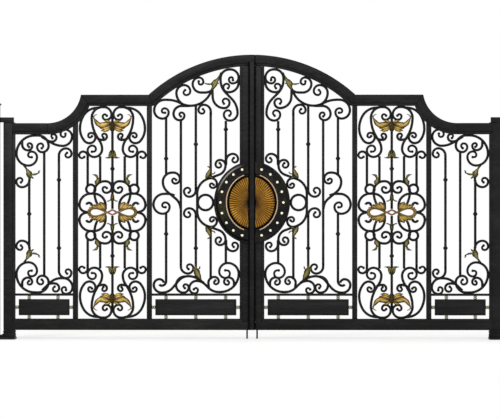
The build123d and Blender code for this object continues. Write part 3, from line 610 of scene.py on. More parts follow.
@dataclass(frozen=True)
class Forge:
    """Forges bars, knots and rings of one section onto a grid.

    The lap is in grid squares, a turn is a least radius in squares with its quarters, and the
    eye and the ball are shares of the full section.
    """

    bar: float = SET.bar
    corners: int = 12
    power: float = 5.0
    bend_step: float = 9.0
    lap: float = 0.3
    turns: Rows = ((8.0, 5.0), (5.5, 4.5), (0.0, 3.4))
    tighten: float = 0.88
    eye: float = 0.82
    ball: float = 1.1
    ball_angles: Row = (0.0, 25.0, 50.0, 75.0, 100.0, 125.0, 150.0, 172.0)
    neck_angle: float = 70.0
    nominal_square: float = 8.5
    picket_stations: int = 9
    ring_points: int = 40
    belly_stations: int = 13
    belly_neck: float = 12.4
    belly_swell: float = 7.4
    belly_half: float = 10.8
    knot_bead: Rows = ((-14.9, 11.6), (-14.4, 12.9), (-13.0, 13.8), (-11.4, 13.1))

    @property
    def section(self) -> np.ndarray:
        """The bar's section: the curve |x|^p + |y|^p = 1 at even angles, times half the bar.

        Returns:
            Points shaped corners by 2.
        """
        angle = 2 * np.pi * (np.arange(self.corners) + 0.5) / self.corners
        points = np.stack([np.cos(angle), np.sin(angle)], axis=1)
        size = (np.abs(points) ** self.power).sum(axis=1, keepdims=True) ** (-1 / self.power)
        return points * size * self.bar / 2

    def quarters(self, curl: Row) -> list[Row]:
        """The quarter turns of a curl, along which the bar thins.

        Each quarter has a fixed share of the radius before it, tightened further from the
        third on, and a wide curl has more of them.

        Args:
            curl: radius, side and share, in grid squares.

        Returns:
            Rows of radius, degrees, and share of the section at the start and the end.
        """
        radius, side, shrink = curl
        count = next(number for least, number in self.turns if radius >= least)
        moves = []
        for index in range(math.ceil(count)):
            part = min(1.0, count - index)
            first, last = (1 - (1 - self.eye) * k / count for k in (index, index + part))
            closed = radius * shrink**index * self.tighten ** max(0, index - 1)
            moves.append((closed, 90 * side * part, first, last))
        return moves

    def snub(self, u: float, v: float, way: float) -> np.ndarray:
        """The ball at a curl's end: along (1 - cos a), wide sin a, but never under its neck.

        Args:
            u: squares across, where the curl ends.
            v: squares away.
            way: heading there, in radians.

        Returns:
            Rows of u, v, heading and share of the full section.
        """
        angles = np.array(self.ball_angles)
        ball = np.radians(angles)
        reach = self.ball * self.bar / 2 / self.nominal_square * (1 - np.cos(ball))
        neck = np.where(angles < self.neck_angle, self.eye, 0.0)
        swell = np.maximum(self.ball * np.sin(ball), neck)
        u, v = u + reach * math.cos(way), v + reach * math.sin(way)
        return np.stack([u, v, np.full(len(ball), way), swell], axis=1)

    def walk(self, row: Row) -> np.ndarray:
        """Follows one bar: runs are straight, bends are arcs, and a curl is quarter turns.

        A point of a bend is its centre plus the radius turned with the heading. A curl ends
        in a ball.

        Args:
            row: u, v, heading, steps and curl, in grid squares and degrees.

        Returns:
            Four rows: u, v, heading in radians, and share of the full section.
        """
        u, v, heading, steps, curl = row
        moves = [(radius, amount, 1.0, 1.0) for radius, amount in steps]
        moves += self.quarters(curl) if curl else []
        way = math.radians(heading)
        path = [np.array([[u - self.lap * math.cos(way), v - self.lap * math.sin(way), way, 1.0]])]
        for radius, amount, first, last in moves:
            cos, sin = math.cos(math.radians(heading)), math.sin(math.radians(heading))
            points = max(2, math.ceil(abs(amount) / self.bend_step)) if radius else 1
            part = np.arange(1, points + 1) / points
            turn = amount if radius else 0.0
            ways = np.radians(heading + turn * part)
            heading += turn
            if radius:
                arm = math.copysign(radius, amount)
                us, vs = u - arm * (sin - np.sin(ways)), v + arm * (cos - np.cos(ways))
            else:
                us, vs = u + amount * part * cos, v + amount * part * sin
            path.append(np.stack([us, vs, ways, first + (last - first) * part], axis=1))
            u, v, way, _ = path[-1][-1]
        if curl:
            path.append(self.snub(u, v, way))
        return np.concatenate(path).T

    def bend(self, grid: Grid, row: Row) -> Shell:
        """One bent bar: the rounded square section set square to the walk at each point.

        Args:
            grid: the grid it lies on.
            row: the bar, as walk takes it.

        Returns:
            The bar as a closed surface.
        """
        u, v, way, share = self.walk(row)
        normal = grid.way(-np.sin(way), np.cos(way))[:, None, :]
        wide, deep = self.section.T[:, :, None]
        section = (normal * wide + deep * BACK) * share[:, None, None]
        tone = np.repeat(share[:, None], self.corners, axis=1)
        return tube(grid.at(u, v)[:, None, :] + section, tone)

    def bars(self, grid: Grid, rows: Rows) -> list[Shell]:
        """Every bent bar of a table."""
        return [self.bend(grid, row) for row in rows]

    def picket(self, start: np.ndarray, end: np.ndarray) -> Shell:
        """A straight upright bar of the same section between two points."""
        part = np.linspace(0, 1, self.picket_stations)[:, None, None]
        return tube(start + (end - start) * part + np.pad(self.section, ((0, 0), (0, 1))))

    def pickets(self, top: Grid, low: Grid, rows: Rows) -> list[Shell]:
        """Every picket of a table, from (u, v) on one grid to (u, w) on the other."""
        return [self.picket(top.at(u, v), low.at(u, w)) for u, v, w in rows]

    def knots(self, grid: Grid, places: Rows) -> list[Shell]:
        """Turned collars: a round belly, r = neck + swell sqrt(1 - t^2), between two beads.

        Args:
            grid: the grid they lie on.
            places: u and v of each.

        Returns:
            The collars as closed surfaces.
        """
        t = np.linspace(-1, 1, self.belly_stations)
        radius = self.belly_neck + self.belly_swell * np.sqrt(1 - t**2)
        belly = np.stack([t * self.belly_half, radius], axis=1)
        bead = np.array(self.knot_bead)
        profile = np.concatenate([bead, belly, bead[::-1] * [-1, 1]])
        return [turned(tuple(grid.at(u, v)), UP, profile, ROUND) for u, v in places]

    def ring(self, grid: Grid, row: Row) -> Shell:
        """A forged ring: the bar's section carried round a circle.

        Args:
            grid: the grid it lies on.
            row: u, v and radius, in squares.

        Returns:
            The ring as a closed surface.
        """
        u, v, radius = row
        angle = np.linspace(0, 2 * np.pi, self.ring_points, endpoint=False)[:, None]
        wide, deep = self.section.T
        out = radius * grid.unit + wide
        x, z = out * np.cos(angle), out * np.sin(angle)
        place = np.stack([x, np.broadcast_to(deep, x.shape), z], axis=-1)
        return tube(grid.at(u, v) + place, loop=True)


@dataclass(frozen=True)
class Cut:
    """How a petal is cut: its scallops, where it is widest, its blunt tip and its rubbing."""

    lobes: float
    fullness: float
    snub: float = 0.6
    rubbed: float = 1.0


BLADE = Cut(3.5, 1.45)
FLARE = Cut(3.5, 2.1, 1.0)
LOBE = Cut(1.5, 1.0, 0.65, 0.85)
WING = Cut(3.0, 0.95, 0.5)
CORE = Cut(4.0, 1.0, 0.3, 0.36)
FAN = Cut(2.0, 0.95, 0.5, 0.9)


@dataclass(frozen=True)
class Foundry:
    """Models cast leaves: petals with a rib, side veins and a scalloped edge.

    The seat, the thickness and the edges are millimetres. The others are shares of a petal's
    own length, width and height, powers, tones and counts.
    """

    seat: float = -10.4
    thickness: float = 9.4
    edge: float = 2.4
    stations: int = 30
    across: int = 11
    end_share: float = 0.004
    least_snub: float = 0.02
    scallop: float = 0.08
    scallop_phase: float = 0.6
    lean: float = 0.22
    crown: float = 0.8
    crown_power: float = 2.2
    rib: float = 0.25
    rib_width: float = 0.2
    vein: float = 0.36
    # painted shade along a petal: the tone's factor at the root, how fast it rises, and its factor
    # at both ends
    base_light: float = 0.22
    light_rise: float = 2.0
    end_light: float = 0.7
    band_across: int = 7
    band_edge: float = 1.0
    band_tone: Row = (0.06, 0.42)

    def petal(self, grid: Grid, row: Row, cut: Cut) -> Shell:
        """One petal on a grid of s along its spine and t across it.

        The spine runs from base to tip and bows sideways by 4s(1-s) times half the
        difference of its two swells. The half width is 4w(1-w) times half their sum, where w
        is s to the power of the cut's fullness; it is waved by the lobes and ends in a round
        snub. The height is a crown (1 - |t|^2.2) that fades at both ends, plus a rib at t = 0,
        less veins that run out to the lobes.

        Args:
            grid: the grid it lies on.
            row: base u, base v, tip u, tip v, swell left, swell right.
            cut: how it is cut.

        Returns:
            The petal as a closed surface, its tone bright on ridges and dark in hollows, and darker
            at its root and tip as painted shade.
        """
        bu, bv, tu, tv, left, right = row
        s = np.linspace(self.end_share, 1 - self.end_share, self.stations)[:, None]
        t = np.linspace(-1, 1, self.across)[None, :]
        length = math.hypot(tu - bu, tv - bv)
        du, dv = (tu - bu) / length, (tv - bv) / length
        swell = 4 * s * (1 - s)
        ends = np.sqrt(swell)
        wave = 1 + self.scallop * np.sin(2 * np.pi * cut.lobes * s + self.scallop_phase) * ends
        w = s**cut.fullness
        blunt = cut.snub * np.sqrt(np.clip((1 - s) * length / cut.snub, self.least_snub, 1))
        half = np.maximum(4 * w * (1 - w) * (left + right) / 2 * length * wave, blunt)
        off = swell * (left - right) / 2 * length + half * t
        # the edge points towards the tip, as acanthus lobes do
        on = s * length + self.lean * half * t**2 * ends
        top = grid.at(bu + du * on - dv * off, bv + dv * on + du * off)
        crown = self.crown * (1 - np.abs(t) ** self.crown_power) * np.sqrt(np.sin(np.pi * s))
        rib = self.rib * np.exp(-((t / self.rib_width) ** 2)) * ends
        furrow = 0.5 + 0.5 * np.cos(2 * np.pi * (cut.lobes * s - 0.5 * np.abs(t)))
        vein = self.vein * furrow * np.abs(t) * ends
        lift = np.clip(crown + rib - vein, 0, 1)
        top[..., 1] = self.seat - self.edge - (self.thickness - self.edge) * lift
        # painted shade: the tone is darkened at the petal's root and a little at its tip
        fade = np.clip(self.base_light + self.light_rise * s, 0, 1)
        fade = fade * (self.end_light + (1 - self.end_light) * np.sin(np.pi * s))
        return self.cast(top, np.clip(lift * fade * cut.rubbed, 0, 1))

    def cast(self, face: np.ndarray, shade: np.ndarray, loop: bool = False) -> Shell:
        """Closes a modelled face with a flat, dark back on the seat.

        Args:
            face: points of the face, shaped rings by points by 3.
            shade: tone at each of them.
            loop: whether the last ring joins the first.

        Returns:
            The casting as a closed surface.
        """
        back = face[:, ::-2] * [1, 0, 1] + [0, self.seat, 0]
        tone = np.concatenate([shade, np.zeros(back.shape[:2])], axis=1)
        return tube(np.concatenate([face, back], axis=1), tone, loop)

    def petals(self, grids: Sequence[Grid], rows: Rows, cut: Cut) -> list[Shell]:
        """Every petal of a table, on each of the grids."""
        return [self.petal(grid, row, cut) for grid in grids for row in rows]

    def sprays(self, grids: Sequence[Grid], rows: Rows, blade: Cut) -> list[Shell]:
        """A leaf on its stem on each grid: the first row is its blade, the others its lobes."""
        return self.petals(grids, rows[:1], blade) + self.petals(grids, rows[1:], LOBE)

    def band(self, grid: Grid, outer: np.ndarray, inner: np.ndarray) -> Shell:
        """A raised band between two closed curves: each ring runs from one curve to the other.

        Its height over the seat is sqrt(1 - t^2), where t goes from -1 to 1 across the band.

        Args:
            grid: the grid it lies on.
            outer: points of the outer curve in squares, shaped points by 2.
            inner: points of the inner curve, as many.

        Returns:
            The band as a closed ring.
        """
        t = np.linspace(-1, 1, self.band_across)[:, None]
        place = outer[:, None, :] * (1 - t) / 2 + inner[:, None, :] * (1 + t) / 2
        face = grid.at(place[..., 0], place[..., 1])
        lift = np.sqrt(1 - t[:, 0] ** 2) + np.zeros((len(outer), 1))
        face[..., 1] = self.seat - self.band_edge - (self.thickness - self.band_edge) * lift
        low, rise = self.band_tone
        return self.cast(face, low + rise * lift, loop=True)


def tear(
    tip: float, end: float, rise_share: float, points: int = 72, sharpness: float = 1.1
) -> np.ndarray:
    """A tear's outline: along (1 - cos a)/2, across sin a times a power of sin a/2.

    Args:
        tip: squares out to the sharp tip.
        end: squares out to the full end.
        rise_share: half height as a share of the length.
        points: how many points it has.
        sharpness: the power above.

    Returns:
        Points shaped points by 2.
    """
    a = 2 * np.pi * np.arange(points) / points
    bulge = np.sin(a) * np.abs(np.sin(a / 2)) ** sharpness
    across = (end - tip) * rise_share * bulge / np.abs(bulge).max()
    return np.stack([tip + (end - tip) * (1 - np.cos(a)) / 2, across], axis=1)


def diamond(wide: float, tall: float, points: int = 40) -> np.ndarray:
    """A diamond's outline: the curve |u|/wide + |v|/tall = 1 at even angles.

    Args:
        wide: half width in squares.
        tall: half height in squares.
        points: how many points it has.

    Returns:
        Points shaped points by 2.
    """
    a = 2 * np.pi * np.arange(points) / points
    size = np.abs(np.cos(a)) + np.abs(np.sin(a))
    return np.stack([wide * np.cos(a) / size, tall * np.sin(a) / size], axis=1)


FORGE = Forge()
FOUNDRY = Foundry()


@dataclass
class OuterPanel:
    """The panel next to the hinge: scrolls at its top and foot, tied by three pickets."""

    squares: float = 57.9
    common: Rows = (
        (19.4, 1.0, 180, ((18.3, -90),), (12.0, -1, 0.72)),
        (19.4, 1.0, 0, ((0, 3.6), (10.4, 90)), (6.4, 1, 0.8)),
        (6.8, 7.2, 90, ((0, 2.9),), (5.8, -1, 0.74)),
        (14.2, 42.4, 90, ((0, 3.0),), (7.6, 1, 0.74)),
    )
    crest_rows: Rows = (
        (26.4, 2.4, 31, ((0, 11.5), (22.0, -31)), (9.4, -1, 0.74)),
        (33.4, 6.7, 14, ((15.0, -14),), (4.3, -1, 0.73)),
        (43.8, 25.2, -90, ((0, 4.0),), (7.2, 1, 0.76)),
    )
    foot_rows: Rows = (
        (27.0, 3.2, 44, ((0, 11.0), (16.0, -44), (0, 2.2)), (9.2, -1, 0.72)),
        (33.4, 9.6, 8, ((0, 3.0), (12.0, -20)), (4.4, -1, 0.8)),
        (43.8, 26.8, -90, ((0, 4.2),), (7.2, 1, 0.74)),
    )
    pickets: Rows = ((13.9, 45.8, 45.8), (29.0, 17.0, 17.0), (43.8, 24.6, 24.6))
    knots: Rows = ((13.9, 0.0), (43.8, 34.3), (43.8, -34.3))
    leaf: Rows = (
        (8.6, 31.2, 15.0, 43.6, 0.16, 0.3),
        (11.2, 38.4, 24.8, 37.8, 0.24, -0.08),
        (12.6, 40.0, 18.6, 44.4, 0.16, 0.14),
        (23.4, 39.0, 25.4, 36.4, -0.1, 0.5),
    )

    def __post_init__(self) -> None:
        """Lays out the grids from the rail, the cross bar and half way between them."""
        unit = SET.outer_width / self.squares
        self.crest = Grid(SET.outer_left, SET.low_under, unit)
        self.foot = Grid(SET.outer_left, SET.cross_bar_top, unit, down=1)
        self.belt = Grid(SET.outer_left, (SET.low_under + SET.cross_bar_top) / 2, unit)

    def bars(self) -> list[Shell]:
        """Every bar, picket and knot of the panel.

        Returns:
            Their closed surfaces.
        """
        shells = FORGE.bars(self.crest, self.common + self.crest_rows)
        shells += FORGE.bars(self.foot, self.common + self.foot_rows)
        shells += FORGE.pickets(self.crest, self.foot, self.pickets)
        return shells + FORGE.knots(self.belt, self.knots)

    def leaves(self) -> list[Shell]:
        """The two hooked leaves, at the top and the foot."""
        return FOUNDRY.sprays((self.crest, self.foot), self.leaf, FLARE)


@dataclass
class MiddlePanel:
    """The rich panel: the same quarter drawn four times about its middle."""

    squares: float = 69.4
    crest_rows: Rows = (
        (8.5, 1.0, 180, (), (7.5, -1, 0.72)),
        (8.5, 1.0, 0, ((0, 1.5), (11.0, 90), (36.0, 33), (0, 4.3), (15.0, -33)), (8.0, -1, 0.83)),
        (13.0, 1.6, 4, ((0, 3.6), (16.0, 56), (26.0, 30), (19.0, 40), (6.8, 50)), (6.0, 1, 0.74)),
        (15.2, 32.6, 150, ((12.0, 30),), (3.6, 1, 0.78)),
        (25.0, 54.0, -90, ((0, 3.4),), (4.7, 1, 0.82)),
    )
    heart_rows: Rows = (
        (6.9, -31.4, 180, ((6.2, -90),), (5.48, -1, 0.68)),
        (6.9, -31.4, 0, ((0, 1.0), (10.4, 90), (28.0, 30)), None),
        (21.4, -18.9, 0, ((0, 0.4), (11.5, 90), (6.8, 75), (0, 3.0)), None),
        (21.4, -18.9, 180, ((0, 2.5), (12.0, -90), (0, 4.0)), None),
        (19.2, -4.7, -60, ((0, 4.0), (2.9, 130)), None),
    )
    pickets: Rows = ((25.0, 51.6, -26.0), (12.4, 50.6, -30.4))
    axis_pickets: Rows = ((0.0, 9.0, -3.5),)
    axis_knots: Rows = ((0.0, 63.3),)
    ring: Row = (21.9, -23.4, 4.6)
    palmette: Rows = (
        (0.4, 19.0, 19.6, 9.6, 0.38, -0.14),
        (19.0, 13.0, 15.2, 8.4, 0.32, -0.12),
        (0.4, 18.6, 12.8, 22.4, 0.28, 0.0),
        (0.4, 20.6, 11.8, 24.8, 0.26, 0.02),
        (0.4, 18.0, 8.6, 14.6, 0.04, 0.26),
        (0.4, 17.4, 15.4, 18.6, 0.2, 0.14),
    )
    core: Rows = ((0.0, 13.2, 0.0, 27.2, 0.22, 0.22),)
    tulip: Rows = (
        (0.4, 44.4, 7.7, 52.2, 0.46, -0.17),
        (0.0, 43.2, 0.0, 52.4, 0.18, 0.18),
        (1.6, 44.6, 3.2, 51.6, 0.2, 0.2),
    )
    bud: Rows = ((0.6, -14.2, 5.6, -11.2, 0.24, -0.04), (0.0, -20.6, 0.0, -9.8, 0.2, 0.2))
    sprig: Rows = ((12.4, -36.4, 16.8, -27.4, 0.24, 0.26), (15.2, -31.4, 20.4, -38.2, -0.15, 0.46))
    rosette: Rows = (
        (6.4, -1.2, 13.0, -10.8, 0.26, 0.28),
        (7.6, -1.8, 16.8, -9.6, 0.2, 0.2),
        (9.0, -2.2, 19.0, -8.2, 0.16, 0.14),
        (13.0, -3.6, 22.6, -7.4, 0.16, 0.14),
        (20.6, -3.2, 23.4, -5.4, 0.26, 0.24),
        (22.2, -2.0, 25.2, -2.2, 0.3, 0.26),
    )
    eye_outer: Row = (3.8, 25.4, 0.26)
    eye_hole: Row = (8.0, 21.8, 0.22)
    heart_outer: Row = (7.2, 3.5)
    heart_hole: Row = (3.0, 1.6)

    def __post_init__(self) -> None:
        """Lays out a crest and a heart grid a quarter, from the rails and the panel's middle."""
        unit = SET.middle_width / self.squares
        axis = SET.middle_left + SET.middle_width / 2
        middle = (SET.bottom_rail_top + SET.middle_under) / 2
        edges = ((SET.middle_under, -1), (SET.bottom_rail_top, 1))
        quarters = [(across, *edge) for across in (-1, 1) for edge in edges]
        self.crests = [Grid(axis, edge, unit, across, away) for across, edge, away in quarters]
        self.hearts = [Grid(axis, middle, unit, across, away) for across, _, away in quarters]

    def bars(self) -> list[Shell]:
        """Every bar, picket, knot and ring of the panel, those on its axis once.

        Returns:
            Their closed surfaces.
        """
        shells = []
        for crest, heart in zip(self.crests, self.hearts):
            shells += FORGE.bars(crest, self.crest_rows) + FORGE.bars(heart, self.heart_rows)
            shells += FORGE.pickets(crest, heart, self.pickets)
            shells.append(FORGE.ring(heart, self.ring))
            if crest.across > 0:
                shells += FORGE.pickets(crest, heart, self.axis_pickets)
                shells += FORGE.knots(crest, self.axis_knots)
        return shells

    def palmettes(self) -> list[Shell]:
        """The winged palmettes at the top and the foot, dark at the core between the wings."""
        wings = FOUNDRY.petals(self.crests, self.palmette, WING)
        return wings + FOUNDRY.petals(self.crests, self.core, CORE)

    def buds(self) -> list[Shell]:
        """The tulips, buds and sprigs along the panel's axis.

        Returns:
            Their closed surfaces.
        """
        shells = FOUNDRY.petals(self.crests, self.tulip, LOBE)
        shells += FOUNDRY.petals(self.hearts, self.bud, LOBE)
        return shells + FOUNDRY.sprays(self.hearts, self.sprig, BLADE)

    def rosette_shells(self) -> list[Shell]:
        """The middle rosette: a tear frame to each side with leaves over and under it.

        Returns:
            Their closed surfaces.
        """
        outer, hole = tear(*self.eye_outer), tear(*self.eye_hole)
        tears = [FOUNDRY.band(heart, outer, hole) for heart in self.hearts[::2]]
        return FOUNDRY.petals(self.hearts, self.rosette, FAN) + tears

    def diamond_shells(self) -> list[Shell]:
        """The small diamond frame between the two tears."""
        outer, hole = diamond(*self.heart_outer), diamond(*self.heart_hole)
        return [FOUNDRY.band(self.hearts[0], outer, hole)]


@dataclass
class InnerPanel:
    """The tall panel by the meeting stile, set out from the arch, the medallion and the bar."""

    squares: float = 88.0
    crest_rows: Rows = (
        (15.4, 33.2, 180, ((0, 2.6), (10.6, -90)), (8.3, -1, 0.75)),
        (15.4, 33.2, 0, ((28.0, 29), (20.0, -29), (22.0, -60), (30.0, -12)), None),
        (36.0, 39.4, 180, ((0, 6.4), (8.0, -90)), (6.3, -1, 0.74)),
        (37.5, 39.4, 180, ((13.0, 90),), (7.9, 1, 0.76)),
        (60.0, 23.8, 145, ((12.0, 35), (0, 3.7)), (8.6, 1, 0.75)),
        (59.0, 48.6, -90, ((0, 3.4),), (7.0, -1, 0.76)),
        (60.6, 21.6, 88, ((0, 8.9), (11.5, -88)), (5.4, -1, 0.76)),
        (77.6, 2.8, 0, ((0, 1.2),), (8.1, 1, 0.73)),
        (77.6, 2.8, 180, ((8.8, -90), (0, 2.0), (18.0, -45), (0, 8.4), (20.0, 45)), (7.7, 1, 0.79)),
        (86.9, 11.0, 90, ((0, 5.0), (9.6, 90), (0, 1.0)), (4.8, 1, 0.75)),
    )
    heart_rows: Rows = (
        (45.4, 0.0, -90, ((0, 9.0), (15.5, 70), (0, 12.4), (10.0, -70)), (5.5, -1, 0.82)),
        (56.0, -24.4, 0, ((0, 3.5),), (5.6, 1, 0.75)),
        (74.4, -38.0, -90, ((0, 4.0),), (6.8, 1, 0.76)),
        (44.0, -14.0, 90, ((0, 1.6),), (6.6, 1, 0.8)),
    )
    side_rows: Rows = (
        (20.2, -30.0, 0, ((0, 1.5),), (6.3, 1, 0.74)),
        (20.2, -30.0, 180, ((9.3, -90), (13.0, -50), (0, 11.0), (13.0, 50)), None),
        (13.7, -8.7, 180, ((0, 1.5), (10.7, -90)), (9.3, -1, 0.74)),
        (13.7, -8.7, 0, ((0, 2.0), (15.0, 28)), None),
    )
    foot_rows: Rows = (
        (10.2, 0.8, 180, ((0, 0.6), (7.8, -90), (5.7, -90), (4.6, -78)), None),
        (14.2, 12.6, -90, ((0, 0.3), (4.5, -90), (2.6, -62)), None),
        (10.2, 0.8, 0, ((14.0, 50), (0, 9.0), (13.0, -50), (18.0, -35), (0, 6.0)), None),
        (33.0, 17.0, 180, ((8.8, 90),), (7.4, 1, 0.7)),
        (44.8, 12.6, 180, (), (7.3, 1, 0.72)),
        (44.8, 12.6, 0, ((12.0, -45), (0, 5.0), (14.0, 45), (0, 2.0), (18.3, 90)), (10.8, 1, 0.81)),
        (82.3, 7.0, 90, ((0, 3.5),), (5.6, 1, 0.78)),
        (57.0, 6.2, 96, ((0, 3.8), (6.0, -6)), (6.0, -1, 0.74)),
        (29.0, 30.0, -90, ((0, 3.0),), (7.0, 1, 0.78)),
    )
    upper_pickets: Rows = (
        (14.2, 51.0, -28.5), (44.0, 39.0, -13.0), (58.9, 46.0, -24.0), (74.1, 54.4, -39.0),
    )
    lower_pickets: Rows = (
        (14.2, 11.4, 12.2), (44.0, 13.0, 16.5), (58.9, 24.0, 14.0), (74.1, 39.0, 31.0),
    )
    long_pickets: Rows = ((29.0, 53.4, 28.0),)
    ring: Row = (53.7, 0.0, 7.7)
    knots: Rows = ((14.2, -44.1), (44.0, -58.5), (74.1, -73.3), (14.2, 31.5), (44.0, 45.8))
    crest_leaf: Rows = (
        (69.2, 5.6, 59.4, 24.6, 0.08, 0.12),
        (66.0, 12.0, 60.2, 20.6, 0.3, 0.2),
        (63.2, 15.6, 52.6, 16.4, -0.06, 0.24),
        (63.0, 14.6, 67.4, 17.2, 0.2, 0.1),
    )
    heart_leaf: Rows = (
        (59.4, -36.4, 53.8, -24.0, 0.12, 0.22),
        (59.2, -28.6, 63.6, -31.0, 0.3, -0.1),
        (59.0, -33.6, 55.6, -36.4, 0.24, 0.1),
        (57.0, -27.0, 62.0, -23.6, 0.18, 0.14),
    )
    foot_leaf: Rows = (
        (50.8, 11.8, 43.2, 26.6, 0.24, 0.14),
        (45.0, 21.4, 40.8, 26.8, 0.24, 0.06),
        (45.0, 23.4, 48.2, 27.6, -0.04, 0.34),
        (44.4, 21.6, 43.8, 29.6, 0.15, 0.15),
    )

    def __post_init__(self) -> None:
        """Lays out the grids from the arch, the medallion's middle and the cross bar."""
        unit = SET.inner_width / self.squares
        self.crest = Grid(SET.inner_left, SET.arch_under, unit)
        self.foot = Grid(SET.inner_left, SET.cross_bar_top, unit, down=1)
        self.upper = Grid(SET.inner_left, SET.medallion_z, unit)
        self.lower = Grid(SET.inner_left, SET.medallion_z, unit, down=1)

    def bars(self) -> list[Shell]:
        """Every bar, picket, knot and ring of the panel.

        Returns:
            Their closed surfaces.
        """
        shells = FORGE.bars(self.crest, self.crest_rows)
        shells += FORGE.bars(self.upper, self.heart_rows + self.side_rows)
        shells += FORGE.bars(self.lower, self.heart_rows)
        shells += FORGE.bars(self.foot, self.foot_rows)
        shells += FORGE.pickets(self.crest, self.upper, self.upper_pickets)
        shells += FORGE.pickets(self.upper, self.foot, self.lower_pickets)
        shells += FORGE.pickets(self.crest, self.foot, self.long_pickets)
        shells.append(FORGE.ring(self.upper, self.ring))
        return shells + FORGE.knots(self.upper, self.knots)

    def leaves(self) -> list[Shell]:
        """The leaves at the arch, beside the medallion and at the foot.

        Returns:
            Their closed surfaces.
        """
        shells = FOUNDRY.sprays((self.crest,), self.crest_leaf, BLADE)
        shells += FOUNDRY.sprays((self.upper, self.lower), self.heart_leaf, BLADE)
        return shells + FOUNDRY.sprays((self.foot,), self.foot_leaf, BLADE)


